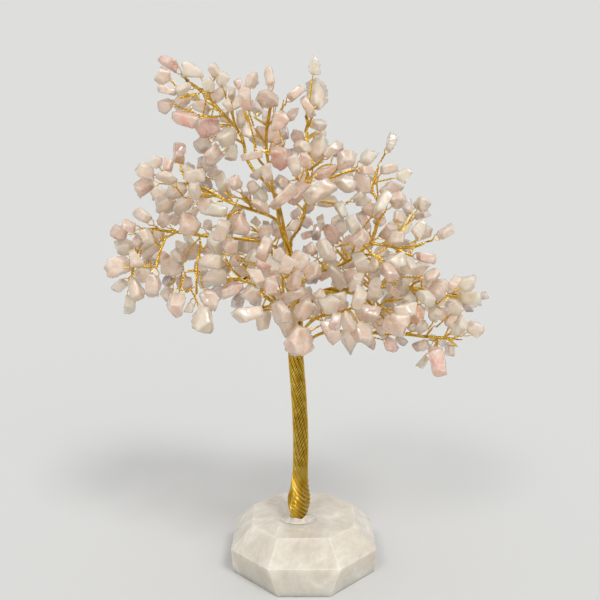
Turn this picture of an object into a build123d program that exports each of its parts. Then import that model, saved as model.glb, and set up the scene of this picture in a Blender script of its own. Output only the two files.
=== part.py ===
from build123d import *
import math
import os

import numpy as np

# Gemstone tree: rose quartz chips on twisted gold wire, standing in a faceted quartz base.
# Millimetres, +Z up, +X right and -Y towards the viewer. The origin is the centre of the rest face.

# Driving dimensions
tree_height = 200.0
base_width = 57.0
base_height = 19.4
strand_diameter = 1.3
twig_diameter = 1.05
stem_diameter = 0.8
fine_wire_diameter = 0.4
chip_length = 8.6
chip_bore_diameter = 1.0

# Places in the tables below are shares of the tree's height, in two-hundredths of it.
share = tree_height / 200
# Chip sizes in the tables are eighths of the usual chip's length.
chip_share = chip_length / 8

# Faceted base: half widths across the flats and across the cut corners, as shares of its width
girdle_height = 11.3
top_flat_share, top_corner_share = 0.357, 0.374
girdle_flat_share, girdle_corner_share = 0.5, 0.52
foot_flat_share, foot_corner_share = 0.494, 0.471

# Drilled hole in the base and the glue that holds the wires in it
hole_place = (-2.1, -4.0)
hole_depth = 12.0
hole_floor_gap = 0.3
glue_wall = 0.55
glue_gap = 0.1
glue_collar_rise = 2.2
glue_collar_spread = 1.7
glue_smear_length = 17.5
glue_smear_width = 9.0
glue_smear_thickness = 0.45

# Clearances between wires, and between wires and stones
wire_gap = 0.1
bundle_gap = 0.25
stone_gap = 0.12
seat_gap = 0.05

# A bend takes this share of the shorter run beside it
bend_share = 0.45
straight_turn = math.radians(1.0)

# Numbers too small to count: corners this near are one, and planes this near parallel do not meet
same_place = 1e-5
on_plane_gap = 1e-6
parallel_limit = 1e-4
least_square = 1e-12

# Where the crown's places were read from: the eye, in two-hundredths of the tree's height
eye_shares = (-1.5, -273.6, 150.5)

# Trunk: the line of its middle, as (x, z, depth) in two-hundredths of the height
trunk_axis_shares = [
    (-2.1, 0, -4), (-2.1, 19.4, -4), (-1.5, 36, -4), (-1.2, 52, -4), (-1.9, 70, -3.5),
    (-3.2, 88, -3), (-3.4, 108, -2), (-4.2, 120, -1), (-6.2, 130, 0), (-9.3, 139.5, 1),
    (-12, 149, 1), (-15.5, 154.5, 1), (-19, 158, 1.5), (-21.3, 163, 2), (-22.3, 168, 2),
]
# Twist of the trunk: degrees for each two-hundredth of height, at each height
lay_shares = [
    (0, 14), (21, 14), (25, 21), (29, 21.5), (36, 16), (43, 7), (60, 4), (70, 7), (86, 7), (92, 4), (121, 4),
    (122, 8), (180, 8),
]
lay_datum_share = 88
turn_step = math.radians(35)
longest_step_share = 8.0
last_step_share = 3.0
slope_step_share = 0.5
ring_count = 10
core_count = 4
core_first_angle = math.radians(42)

# The thick right bough is three strands twisted together along this line, at this lay
right_bough_shares = [(2.5, 107.8, -2), (7, 111.2, -2.5), (12, 112, -4.5), (17, 111.6, -4.2), (21.5, 110.9, -4)]
right_bough_lay = math.radians(17)

# Boughs. Each has the place of its strand in the trunk, as a slot in the ring or the core, the height
# where it leaves, its route and its twigs as (x, z, depth), and its chips as (x, z, length, width, outward
# angle in degrees). A sixth value of up to 8 moves a chip away from its wire, by half of it. A greater one
# is the depth of the wire that the chip hangs on, for chips in front of others.
BOUGH_SHARES = {
    "top_left": {
        "core": 3, "leaves": 163,
        "route": [(-22.6, 168, 3), (-24.5, 172.5, 4), (-28, 176.5, 4), (-31.5, 180, 3), (-35.5, 184.8, 2),
                  (-40, 188.4, 1), (-44.5, 191.2, 0), (-47.5, 194, 0)],
        "twigs": [
            [(-34, 183, 2.5), (-35.5, 186, -2), (-34.5, 189.5, -4)],
            [(-30, 178.6, 3.5), (-34.5, 177.5, -3), (-40, 178.5, -7)],
            [(-38, 187, 1.5), (-43, 185.2, -3), (-47.5, 184.5, -5)],
            [(-24, 171.5, 4), (-26.2, 175.5, -2), (-27.2, 181, -5)],
            [(-23, 169, 3), (-28, 171, -4), (-32.5, 168, -8)],
            [(-31.5, 180, 3), (-35, 182.5, 11), (-40, 184, 17)],
            [(-26, 174.5, 4), (-28, 175, 12), (-32, 173.5, 19)],
        ],
        "chips": [
            (-50, 197, 8, 5, 150), (-52.3, 192.5, 6.5, 6, 190), (-42, 193.8, 9.5, 6, 150),
            (-51, 187.3, 7, 4.5, 165), (-45, 188, 6, 5, 200), (-46, 182.8, 6.5, 5.5, 225),
            (-51.5, 182, 6.5, 5.5, 200), (-44.5, 177, 10.5, 6, 165), (-38, 181.5, 8, 5, 170),
            (-36, 174, 10, 8, 200), (-35.5, 189.5, 5, 5, 70), (-33, 194.3, 5.5, 4.5, 110),
            (-30.3, 191, 5.5, 4.5, 70), (-27, 186.5, 5, 4.5, 80), (-28.5, 182, 5, 5, 120),
            (-28.7, 170.3, 8, 8, 200), (-23.7, 177, 7, 5, 80), (-34, 163.5, 9, 8, 225),
            (-38.5, 167, 7, 7.5, 190), (-27, 165, 7, 6, 250),
            (-42, 185, 7, 6, 160, 14), (-45, 180, 7, 5, 190, 14), (-32, 171, 8, 6, 200, 14),
            (-36, 186.5, 6, 6, 100, 12), (-30, 178, 6, 6, 100, 14), (-38, 176, 7, 6, 200, 12),
            (-31.6, 186.2, 8, 5, 50), (-25.6, 183, 7, 5, 40),
        ],
    },
    "top_centre": {
        "core": 0, "leaves": 151,
        "route": [(-12.2, 155, 3), (-13.5, 160.5, 3), (-14.3, 166, 2.5), (-14.2, 172, 1.5), (-13.2, 178, 0.5),
                  (-12, 184, 0), (-11.6, 188, 0)],
        "twigs": [
            [(-14.3, 168, 2.3), (-18, 172.5, -2), (-21.5, 176, -4), (-22.3, 181, -5)],
            [(-13.7, 175, 1), (-9.5, 178.5, -3), (-7.5, 182, -5), (-8, 186, -6)],
            [(-13.5, 160.5, 3), (-9, 165, -5), (-6.5, 169.5, -8)],
            [(-13, 158, 3), (-17, 161.5, -5), (-19, 166, -8)],
            [(-14.2, 164, 2.6), (-12.5, 165.5, 11), (-10, 166, 19)],
            [(-14, 173.5, 1.2), (-16.5, 176, 9), (-19.5, 178, 16)],
        ],
        "chips": [
            (-20, 191, 7, 5.5, 60), (-24.2, 189.7, 5, 4.5, 120), (-22, 184.5, 9, 7, 95),
            (-12.8, 192, 7.3, 5, 100), (-13, 184.2, 9, 7.5, 160), (-3.1, 186.2, 7, 5.3, 40),
            (-9.5, 176, 8, 7, 60), (-4.3, 178.3, 6, 4.5, 40), (-13.5, 171.5, 11, 6, 170),
            (-20.7, 172, 6, 5, 150), (-10.5, 167.5, 9, 8, 80, 12), (-9.5, 162.5, 9, 8, -60, -4),
            (-19.8, 163.3, 8, 4, 190), (-14, 157, 7.5, 6, 100, -9),
            (-18, 181, 7, 6, 120, 12), (-8, 171, 7, 6, 40, 12), (-17, 169, 7, 6, 150, 14),
            (-14, 177, 7, 6, 90, 12), (-5, 164, 7, 6, 0, 16),
            (-17.5, 156.5, 6, 5, -140),
        ],
    },
    "top_right": {
        "core": 2, "leaves": 131,
        "route": [(-2.2, 134.8, -1), (-0.2, 139.5, -2), (0.8, 145, -2), (1.1, 151, -2), (1.4, 158, -2),
                  (1.4, 166, -1), (1, 174, 0), (0.8, 181, 0), (1, 187, 0), (2.2, 191.5, 0)],
        "twigs": [
            [(1, 175, 0), (3.2, 178, -3), (4.4, 180.5, -4)],
            [(1.4, 157, -2), (5.5, 160.5, -6), (10, 162.5, -8)],
            [(1.1, 151.5, -2), (7.5, 153.8, -7), (14, 156.5, -9), (20, 158.5, -9)],
            [(1.1, 150, -2), (-1.8, 153.8, -7), (-3.8, 156, -9)],
            [(0.7, 144, -2), (5.5, 146.5, -7), (11, 145.5, -10), (17, 145.2, -11)],
            [(1.2, 154, -2), (4.5, 158, 7), (8, 160, 15), (12, 160, 22)],
            [(1.3, 168, -0.7), (3.5, 171, 7), (5, 173.5, 14)],
            [(0.7, 143, -2), (-3, 145.5, 6), (-7, 147.5, 14), (-11, 148, 21)],
        ],
        "chips": [
            (4.3, 196.2, 6.8, 5, 75), (4.9, 185.5, 11.5, 7.5, 95), (5.4, 174.8, 7, 6, -20),
            (5.6, 166, 11, 8, 60), (11.2, 165.8, 8, 6, 40), (16.3, 161.8, 8, 8, 20, -5),
            (24.2, 163, 7, 6.5, 50), (24, 158, 5.5, 5, 0), (15.7, 152.6, 8, 6.5, -40),
            (22, 153.2, 8.5, 7, -40), (8, 157, 10, 4.5, 20, -6), (-3.8, 160, 8, 8, 110),
            (-8, 153.5, 5, 5, 190), (-2.2, 149.5, 10, 7, 230), (6, 149.8, 12, 9, 30, -8),
            (14.3, 142.8, 6, 4.5, -60), (20.8, 148, 5, 4, 40), (0.5, 161.5, 6, 5, 100, -7),
            (6, 171, 7, 6, 60, 12), (12, 166, 7, 6, 40, 14), (16, 158, 7, 6, -10, 14),
            (0, 155, 7, 6, 160, 14), (-8, 153, 7, 6, 140, 14), (-13, 152, 7, 6, 170, 16),
            (-2, 170, 7, 6, 130, 14), (10, 154, 8, 6, -20, 14),
            (9.3, 146.2, 9, 5.5, 0), (2.5, 145.2, 8, 5, -110), (1.4, 181.3, 8, 4.5, 120), (-0.2, 166.6, 7, 5, 150),
            (-3.6, 137, 6, 5, -120),
        ],
    },
    "left_mid": {
        "core": 1, "leaves": 139,
        "route": [(-13.5, 141, -1.5), (-20.5, 143.2, -4), (-27.5, 145.5, -6), (-33, 148.3, -6),
                  (-38, 151.2, -5), (-44, 152.8, -4), (-50, 153.2, -3), (-54, 154.2, -3)],
        "twigs": [
            [(-43, 152.6, -4), (-45.8, 156, -6), (-47, 159.5, -6)],
            [(-48, 153.1, -3.3), (-51, 155, -6), (-53, 156.5, -7)],
            [(-36, 150, -5.4), (-41, 148.2, -9), (-46, 147.4, -11)],
            [(-20, 143, -4), (-21.8, 147.5, -8), (-25, 151, -10), (-28, 153.5, -11)],
            [(-24, 144.3, -5), (-27.5, 141.5, -10), (-30, 139.5, -13)],
            [(-16, 141.8, -2.4), (-13, 144.5, -8), (-10.5, 145.2, -11)],
            [(-33, 148.3, -6), (-37, 148.5, 2), (-43, 147, 9), (-48, 143.5, 14)],
            [(-28, 145.8, -6), (-29, 149.5, 3), (-31, 153, 11), (-34, 155, 18)],
            [(-17, 142, -3), (-18.5, 144.5, 5), (-21, 146.5, 13), (-25, 147.5, 20)],
        ],
        "chips": [
            (-59.5, 157.3, 8, 7, 150), (-60.8, 151.8, 7.5, 7, 200), (-56, 161.3, 5, 5, 110),
            (-51.5, 160, 6, 6, 80, -4), (-47.2, 164.2, 8.5, 7, 90), (-48.6, 150.2, 8.5, 6, 215, -6),
            (-41.5, 155.5, 7, 9, 100, -6), (-53.2, 144.8, 9, 7.5, 220), (-46, 145, 10, 6.5, 220, -9),
            (-26, 153.5, 6, 6, 90), (-33, 156.3, 7, 5, 160), (-19.5, 151.5, 5, 5, 60, 3),
            (-16.2, 148.2, 7, 7, 100), (-34, 142.7, 8.5, 7.5, 170), (-31.5, 135.3, 8, 7, -110),
            (-24.3, 136.7, 8, 7, -60), (-8, 147.6, 11, 8, 40), (-38, 144.7, 7, 6, 200),
            (-49.5, 139.5, 6, 5, 210, 12), (-27.4, 140.5, 6, 4.5, -60, 10), (-22, 148, 5, 4.5, 100, 13),
            (-38, 152.5, 7, 6, 120, 14), (-44, 158, 7, 6, 130, 14), (-55, 149, 7, 6, 190, 12),
            (-30, 150, 7, 6, 120, 14), (-35, 160, 7, 6, 110, 16), (-43, 141.5, 7, 6, 230, 14),
            (-31.5, 153.5, 8, 6.5, 110), (-52.4, 155.3, 8, 5.5, 160), (-16.3, 144.4, 8, 5, -30),
            (-41.6, 150, 6.5, 5.5, 100), (-38.7, 160, 7, 5, 100),
        ],
    },
    "left_reach": {
        "ring": 9, "leaves": 120,
        "route": [(-8.5, 126.5, -3), (-12.5, 129.9, -5), (-18.5, 131.2, -6), (-25.5, 132, -6), (-33, 132.4, -5),
                  (-40, 133.2, -5), (-46.5, 134.4, -4), (-52.5, 134.8, -4), (-58.5, 136, -3), (-65, 136.1, -3)],
        "twigs": [
            [(-38.5, 133, -5), (-39.8, 129.3, -8), (-41.3, 122.5, -11), (-41.8, 116, -12), (-41.8, 110.5, -12)],
            [(-51.5, 134.8, -4), (-54, 130.5, -7), (-56, 126, -9), (-57, 121, -10)],
            [(-57.5, 135.8, -3), (-61.5, 131.5, -3), (-65, 126, -2), (-66.5, 120, -2), (-66.8, 114.5, -2)],
            [(-41.5, 120.5, -11.2), (-44.5, 119.4, -13), (-46.5, 119, -14)],
            [(-41.8, 113.5, -12), (-45, 111.8, -14), (-47, 110.5, -15)],
            [(-30, 132.2, -5.5), (-33, 131, 2), (-38, 128.5, 9), (-44, 125.5, 15), (-49, 120, 18)],
            [(-48, 134.5, -4), (-52, 133, 4), (-57, 130, 10), (-62, 126, 14)],
            [(-21, 131.5, -6), (-23, 134, 2), (-26.5, 136.5, 10), (-31, 138, 17)],
        ],
        "chips": [
            (-70.8, 134.3, 7, 6, 190), (-61.8, 140.8, 8, 6, 150), (-44.5, 137.5, 9, 8.5, 140),
            (-54, 139.3, 6, 5, 110), (-59, 128.5, 10, 8, 220, -4), (-61, 122.8, 8, 6.5, 200, -5),
            (-58.5, 113.8, 10, 9, -95), (-64, 130.8, 5, 5, 60, -4), (-69.5, 128.8, 8, 6.5, 170),
            (-72.2, 121.2, 9, 8.5, 170), (-71.5, 113.8, 7, 6, -140), (-62, 118, 8, 6, -20, 5),
            (-67.8, 106.8, 7.5, 8, -100), (-51.5, 122, 10, 9, 150), (-52.3, 115.5, 6, 5, 200),
            (-50, 106.5, 8.5, 8.5, -120), (-36.6, 108.3, 9, 7.5, -60), (-39.6, 100.2, 10, 8, -85),
            (-43, 127.5, 9, 7, 190, -5), (-44.5, 105, 5, 5, -120, -3), (-15, 134.6, 6, 5, 60, 3),
            (-46.5, 115, 7, 7, 210, 14), (-53.5, 110.7, 6, 6, 220, 16), (-49.5, 104, 6, 5, -90, 16),
            (-37, 137.2, 5, 4.5, 120, 9), (-55, 125, 8, 6, 200, 14), (-62, 119, 7, 6, 230, 14),
            (-66, 128, 7, 6, 180, 14), (-56.5, 134, 7, 6, 160, 12), (-40, 121, 7, 6, 210, 14),
            (-30.5, 134, 7, 6, 160, 14), (-25, 139.5, 6, 6, 130, 14), (-47, 129, 7, 6, 160, 14),
            (-65.3, 112.5, 9, 6, -70), (-44.5, 132, 7, 5, -60), (-48.2, 125.7, 7, 5, 150), (-65.6, 124, 7, 5, 120),
            (-67.5, 137, 6, 5, 150), (-60.5, 133, 7, 5, 120),
        ],
    },
    "left_low": {
        "ring": 6, "leaves": 97,
        "route": [(-6.5, 101.5, -4), (-10.5, 107, -7), (-14, 113, -9.5), (-18.5, 117.8, -12), (-24.5, 116.2, -14),
                  (-30, 115.2, -14), (-33.5, 115.8, -14)],
        "twigs": [
            [(-20, 117.6, -12.4), (-22.5, 120.5, -15), (-24.5, 123.5, -17)],
            [(-25.5, 116, -14), (-27.5, 119.5, -16), (-29.8, 123.5, -17), (-31, 127, -18)],
            [(-13, 111.5, -9), (-12.5, 116.5, -13), (-14, 121.5, -16), (-16.2, 124.6, -17)],
            [(-11, 108, -7.3), (-14, 111, 0), (-19, 114, 7), (-25, 116, 13), (-31, 116.5, 18)],
            [(-17, 116.4, -11.3), (-19, 120.5, -4), (-23, 124, 3), (-28, 126, 9)],
        ],
        "chips": [
            (-34, 130.3, 9, 8.5, 110), (-36, 123.3, 8, 8, 170), (-28.7, 129.5, 6, 5, 70),
            (-34.5, 116.8, 10, 7, 190, -3), (-28.5, 111.8, 10, 5, 200), (-22.7, 129.3, 8, 8, 90),
            (-19.7, 124.3, 8, 7, 60), (-27, 123.8, 6, 6, 110, -6), (-15, 128.2, 9, 6, 70),
            (-15.5, 121.2, 6, 5, -40, -4), (-38.5, 116.5, 7, 7, 190, 10), (-31, 121, 7, 6, 150, 12),
            (-24, 119, 7, 6, 140, 10), (-33, 111.5, 7, 6, 220, 14), (-20, 113, 7, 6, 230, 12),
            (-29, 131, 7, 6, 110, 14), (-36, 127, 7, 6, 150, 16), (-14, 117, 7, 6, 120, 12),
        ],
    },
    "front_left": {
        "ring": 7, "leaves": 92,
        "route": [(-5, 97.5, -10), (-8, 103.5, -16), (-12, 107.3, -21), (-15.8, 110.3, -25), (-17.3, 114, -27)],
        "twigs": [
            [(-7, 101.5, -14), (-7.5, 107.5, -20), (-8.2, 113.5, -24), (-8.5, 119, -26)],
            [(-11, 106.5, -20), (-14.5, 105.8, -25), (-17.5, 104.5, -29)],
            [(-5.8, 99.4, -11.8), (-3.5, 105.5, -17), (-2.5, 112.5, -21), (-2, 118, -23)],
        ],
        "chips": [
            (-22.3, 102.5, 10, 9, 190), (-15.8, 101.3, 9, 7, -80), (-20.5, 110.3, 8, 6.5, 200),
            (-18.3, 117.3, 8, 7, 120), (-13, 113.3, 7, 6, 80, -3), (-4.2, 109.8, 11, 6, 20, -4),
            (-9, 103.5, 9, 7, -60, -5), (-5, 104.6, 8, 6, -10, -6), (-10.8, 117, 8, 5, 140),
            (-3.5, 115.5, 8, 6, 60, -5), (-6.5, 122, 8, 7, 70), (-1.5, 123.5, 8, 7, 70),
            (-12.5, 121.2, 8, 7, 130), (0.3, 110.5, 7, 6, 0, 0),
            (-9.5, 125.5, 6, 5, 110, -4), (3, 119.5, 7, 6, 20, 2),
        ],
    },
    "front_low": {
        "ring": 8, "leaves": 89,
        "route": [(-1.2, 94.6, -9), (1.5, 98.5, -14), (5, 101.2, -19), (10, 102.6, -23), (15, 101.8, -26)],
        "twigs": [
            [(-1.3, 94.4, -8.8), (-3, 98.5, -15), (-3.8, 102.2, -20)],
            [(6.5, 101.7, -20.4), (7.5, 99, -25), (8.5, 97.8, -28)],
            [(13, 102.3, -25), (17, 104.5, -29), (20.5, 104.5, -32)],
            [(12, 102.5, -24.4), (14.5, 97.5, -27), (17, 95.5, -30)],
        ],
        "chips": [
            (-5.4, 98.3, 9.5, 8, -110, -4), (-1.7, 91.8, 11, 10, -95), (0.3, 104.5, 8, 6, 60, -2),
            (4.2, 104, 5, 4, 120), (9.6, 106.5, 8, 8, 70), (14, 108.6, 6, 5, 60),
            (10.7, 95.8, 9, 8, -60), (17.3, 91.8, 9, 8, -110), (22.8, 94.8, 9, 8, -40),
            (17.2, 99.6, 8, 6, -60, -5), (21.5, 109, 9, 7.5, 70), (24.8, 103, 9, 6.5, -20),
            (12.5, 99.8, 6, 6, -100, -8), (6, 109, 6, 5, 100, 2),
            (14.5, 105.2, 7, 5, 90),
        ],
    },
    "right_low": {
        "ring": 0, "leaves": 88.5,
        "route": [(3.2, 93.2, -4.5), (8, 95.4, -6), (15, 95.8, -7), (23, 95.3, -8), (31, 94.8, -8),
                  (40, 94.6, -7), (48, 93.5, -6), (55, 93.1, -5), (60.5, 92.3, -4), (64.5, 92.9, -3)],
        "twigs": [
            [(47, 93.7, -6), (49.5, 96, -9), (51.5, 98, -10)],
            [(54, 93.2, -5), (56.5, 94.2, -8), (58, 95.2, -9), (58.6, 100.5, -9)],
            [(52, 93.3, -5.3), (52, 90.5, -9), (51, 88.3, -11)],
            [(37, 94.7, -7.4), (39.5, 97, -12), (42, 98.5, -15)],
            [(26, 95.2, -8), (29, 95.8, 0), (33, 96.5, 8), (38, 97, 14)],
            [(57.5, 92.8, -4.5), (59.5, 90.5, 0), (60.8, 89.3, 4)],
        ],
        "chips": [
            (67.2, 96.6, 6.5, 6.5, 60), (61, 97.3, 8.5, 6.5, 60, -3), (59.5, 105, 6, 5.5, 90),
            (53, 83.5, 11, 9.5, -80), (47.3, 83.5, 6, 5, -120), (46.5, 90, 7, 6, 190),
            (34.3, 90, 6.5, 5, -50), (44.5, 102, 7, 6, 60), (51.5, 102.3, 6, 5, 90),
            (46, 97.5, 5, 4.5, 30, 3), (40, 102.5, 6, 5, 110), (31.5, 98.3, 8, 6, 150, 10),
            (38, 92, 5, 4.5, -40, 12), (43, 98.5, 7, 6, 20, 10), (57.5, 88.5, 6, 5, -90, 6),
            (36, 101, 7, 6, 100, 10), (20, 98.5, 6, 5, 80, 3), (26, 91.5, 7, 5, -80, 6),
            (52.6, 92.2, 7, 5, -30), (58.3, 100.5, 7, 5, 60),
        ],
    },
    "right_front": {
        "ring": 1, "leaves": 104, "bough_angle": 200,
        "route": [(24.5, 108.2, -8), (27.5, 104.8, -13), (30.5, 101.8, -17), (33, 99.5, -19)],
        "twigs": [
            [(26.5, 106, -11.3), (24.5, 101.8, -17), (24, 98.5, -21)],
            [(29, 103.3, -15), (33, 104.5, -19), (36, 104.2, -21)],
            [(23.8, 109, -7), (25.8, 109.5, -13), (27.5, 108, -18)],
            [(27, 105.4, -12), (31, 107.2, -7), (35, 108, -3), (38.5, 108.4, -1)],
        ],
        "chips": [
            (27.5, 112.4, 9, 7, 80), (33.5, 109.3, 9, 7, 60, -6), (39.8, 104.4, 9, 7, 10),
            (35.3, 97.6, 9, 8, -30), (29.8, 97.6, 8, 6, -80), (24.5, 94.2, 8, 7, -100, -3),
            (20.3, 100.3, 9, 6, 200), (29.3, 101.5, 8, 7, -60, -8), (34.3, 102, 7, 6, 10, -8),
            (43.2, 109.6, 6, 5.5, 20), (38.5, 112.3, 6, 5, 60, 3), (22.2, 111.4, 7, 5, 120, -6),
            (37.5, 100.5, 7, 6, -10, 6),
        ],
    },
    "right_reach": {
        "ring": 2, "leaves": 104, "bough_angle": 80,
        "route": [(26.5, 112.6, -3.5), (32, 113.4, -3), (37.5, 113.2, -3), (43.5, 112, -2), (49.5, 110.8, -1),
                  (55.5, 110.3, 0), (61, 110.4, 0)],
        "twigs": [
            [(31, 113.3, -3.1), (33.8, 116.3, -6), (36.5, 118, -8)],
            [(41, 112.6, -2.4), (43, 115, -6), (46, 116, -9)],
            [(42.5, 112.2, -2.2), (44, 109, -6), (44.5, 105.8, -9)],
            [(48, 111.1, -1.3), (50.5, 108.3, -5), (52.5, 106.5, -7)],
            [(53.5, 110.5, -0.3), (55.5, 111.8, -4), (57, 112.5, -6)],
            [(27.5, 112.8, -3.4), (25.5, 116.5, -8), (23, 118.5, -11)],
            [(36, 113.3, -3), (39, 113.5, 4), (44, 113, 11), (50, 112, 16)],
            [(50, 110.8, -1), (53, 110.2, 6), (58, 109.5, 11), (62, 108.5, 14)],
            [(30, 113.1, -3.2), (31, 116, 4), (34, 119, 11)],
        ],
        "chips": [
            (64.7, 109.2, 10, 9, -10), (70.3, 109.8, 5.5, 5, 10, 4), (64, 115, 8, 6, 50),
            (58.3, 106.2, 7, 6.5, -70, -4), (58.3, 114.7, 8.5, 6, 50), (52.5, 112.7, 9, 7, 60, -6),
            (47.5, 108.9, 8, 6, -30, -7), (49.8, 117.4, 6.5, 5.5, 30), (44.3, 119, 8, 5, 100),
            (38.6, 121.3, 8, 7, 60), (39, 116.2, 6, 5.5, -10, -8), (54, 103, 6, 5, -60),
            (44.3, 101.9, 7, 6, -90), (41, 107.8, 6, 5, 200), (33.2, 120.2, 8, 7, 100),
            (22.2, 122.3, 9, 8, 110), (18.3, 116.3, 9, 7, 200), (27.2, 118, 8, 6, 90, -6),
            (34.5, 112, 7, 5, -40, -8), (20.8, 115, 8, 6, -110, -12), (64, 105, 6, 5, -60, 4),
            (48, 115, 7, 6, 60, 12), (54, 108, 7, 6, -30, 14), (60, 112, 7, 6, 40, 12),
            (42, 109, 7, 6, -60, 12), (36, 116, 7, 6, 70, 14), (65, 107, 7, 6, -10, 10),
            (50, 106, 7, 6, -70, 14), (31, 122, 7, 6, 90, 14),
        ],
    },
    "back_right": {
        "ring": 3, "leaves": 105, "bough_angle": 320,
        "route": [(24.5, 111.5, 1.5), (28, 113, 8), (32, 115.5, 15), (36.5, 118, 21), (41.5, 119.5, 26)],
        "twigs": [
            [(26.5, 112.3, 5), (22, 115.5, 13), (17, 118.5, 20), (12, 120, 26)],
            [(30, 114.2, 11.5), (28.5, 119, 20), (26.5, 123, 27), (24, 127, 33)],
            [(34, 116.5, 17.5), (37.5, 113, 23), (42, 109.5, 28), (47, 107, 32)],
            [(37.5, 118.4, 22), (36.5, 123, 28), (36, 128, 33), (37, 133, 36)],
            [(27.5, 112.8, 7), (27, 108, 14), (28, 103.5, 20), (30, 99.5, 24)],
        ],
        "chips": [
            (45.5, 121, 8, 6, 20), (44.5, 115.8, 7, 6, -30), (10, 124, 8, 6, 140), (8, 118.5, 8, 6, 190),
            (17.5, 123.3, 7, 6, 90), (13.5, 115.8, 7, 6, -120), (20, 114, 7, 6, 240), (24.5, 131.3, 8, 7, 90),
            (20.5, 128, 7, 6, 160), (29.5, 126.3, 7, 6, 40), (50.5, 105.3, 7, 6, -30), (46.5, 111.4, 7, 6, 50),
            (44.5, 103.8, 7, 6, -90), (38, 108.5, 7, 6, 200), (38.5, 136.8, 8, 6, 80), (33.3, 131.8, 7, 6, 130),
            (40.3, 129.3, 6, 6, 20), (33, 125.4, 7, 6, 170), (31.5, 96, 8, 6, -80), (26, 98.8, 7, 6, 210),
            (33, 103.6, 7, 6, 30), (24.3, 104.5, 7, 6, 170), (33, 112, 7, 6, -60), (28.3, 109.5, 7, 5, 30),
        ],
    },
    "right_mid": {
        "ring": 4, "leaves": 115,
        "route": [(3.5, 119, 0), (10.5, 120.2, -3), (16.5, 122.9, -5), (21.5, 127, -5), (25.2, 130.2, -4),
                  (30.5, 129.7, -3), (36.5, 128.4, -2), (42, 128.7, -1), (46.5, 130.4, 0), (49.5, 131.4, 0)],
        "twigs": [
            [(24.6, 129.7, -4), (27.3, 133.4, -6), (28.2, 137.5, -7), (29.8, 142.5, -7), (27.8, 147, -6),
             (25.6, 150.8, -5), (27.3, 156, -4), (28.5, 161, -3)],
            [(20.5, 126.2, -5), (24.5, 126.2, -8), (29, 125, -10), (31.5, 122.8, -11)],
            [(41.3, 128.7, -1.2), (42.6, 130.9, -4)],
            [(35, 128.7, -2.2), (38.5, 126.5, -6), (42, 125.3, -8)],
            [(15.5, 122.4, -4.7), (14, 126, -9), (12, 129, -12)],
            [(9, 120, -2.4), (7.5, 122, -8), (5.5, 123.5, -12)],
            [(19, 125, -5), (19.5, 129.5, -10), (19.5, 133, -13)],
            [(17.5, 123.7, -5), (17, 127, 3), (14.5, 131, 10), (10, 134.5, 16), (5, 136.5, 21)],
            [(31.5, 129.5, -2.8), (34, 132, 4), (38, 136, 10), (42, 140, 14)],
        ],
        "chips": [
            (54.5, 134.5, 7.5, 6.5, 35), (44, 135.3, 8, 5.4, 80), (47, 124.7, 8, 6.5, -10),
            (40.5, 121.6, 7, 6, -70), (32.7, 168.2, 7.5, 5, 70), (32, 158.5, 7, 5, 30),
            (38.4, 155.8, 6.5, 5.8, 20), (33, 151.3, 9, 6, 20), (35.5, 146.5, 7, 6.5, 10),
            (45, 145.3, 6.3, 6, 0), (36.3, 140.2, 6, 5.5, -45), (32.5, 134.8, 8, 5.5, 40),
            (35.5, 132, 6, 6, 60, -4), (26.2, 143, 7.5, 6, 150), (22.6, 146.6, 6, 5, 170),
            (23, 138.8, 8, 5.5, 120), (18.8, 137.5, 7, 6, 110), (14.5, 136.2, 7, 6, 90, -8),
            (11.3, 133.6, 9, 6, 120), (17.3, 129, 9, 8, 60, -10), (8.4, 127.4, 9, 8, 130, -8),
            (3, 128, 5, 4.5, 120, -6), (35.8, 123.3, 8, 7, 30, -5), (13, 117.5, 11, 5, -60, -6),
            (33, 119, 7, 6, -60), (27, 121.5, 6, 5, -120, -3), (22, 150.8, 6, 5, 190),
            (21.5, 132, 7, 6, 50, -14), (26.5, 155.8, 5, 5, 160), (29, 138.5, 5, 5, 20, 5),
            (1.5, 133.5, 5.5, 4.5, 200, 12), (6.5, 138.3, 7, 5, 100, 14), (0.8, 138.5, 6, 5, 160, 14),
            (12, 138, 7, 6, 80, 12), (18, 131, 7, 6, 40, 12), (9, 130, 7, 6, 230, 12),
            (45.5, 141.3, 7, 6, 20, 10), (39.8, 143.8, 7, 6, 110, 12), (35.5, 137.3, 7, 6, 140, 12),
            (29.8, 145.7, 9, 5.5, 60), (46.9, 134.4, 6, 5, 60), (5.1, 134.5, 7, 5, -100),
        ],
    },
    "back_left": {
        "ring": 5, "leaves": 103,
        "route": [(-4.8, 108, 6), (-7, 114, 14), (-9.5, 120, 21), (-12, 126, 27), (-14, 132, 31)],
        "twigs": [
            [(-7.7, 116, 16.5), (-3, 119.5, 22), (2, 122, 27), (6, 124, 31)],
            [(-6, 111, 10), (-12, 112.5, 17), (-18, 112.5, 23), (-24, 112, 28)],
            [(-10.5, 122.5, 23.3), (-17, 124, 29), (-23.5, 124.5, 33), (-30, 124.5, 36)],
            [(-13.2, 129.5, 29), (-9, 134, 33), (-5, 138, 35)],
            [(-13.6, 131, 30.3), (-18, 135, 34), (-23, 138.5, 36)],
            [(-5.4, 109.3, 7.7), (-2, 110, 15), (2.5, 109, 22), (7, 107.5, 27)],
            [(-9, 119, 19.8), (-15, 118.5, 22), (-21, 119.5, 24)],
        ],
        "chips": [
            (-14.5, 136.5, 6, 5, 90), (-11, 137.5, 5, 4.5, 60), (-3, 141.5, 6, 5, 60), (-6.5, 133.8, 6, 5, -30),
            (-18.5, 139, 5, 4.5, 80), (-25, 142.3, 7, 6, 120), (-26.8, 137, 7, 6, 190), (-19.5, 131, 7, 6, 230),
            (0.5, 127, 5, 4.5, 110), (9, 127.3, 7, 6, 50), (9.3, 121.5, 7, 6, -20), (3, 117.8, 7, 6, -90),
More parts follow.
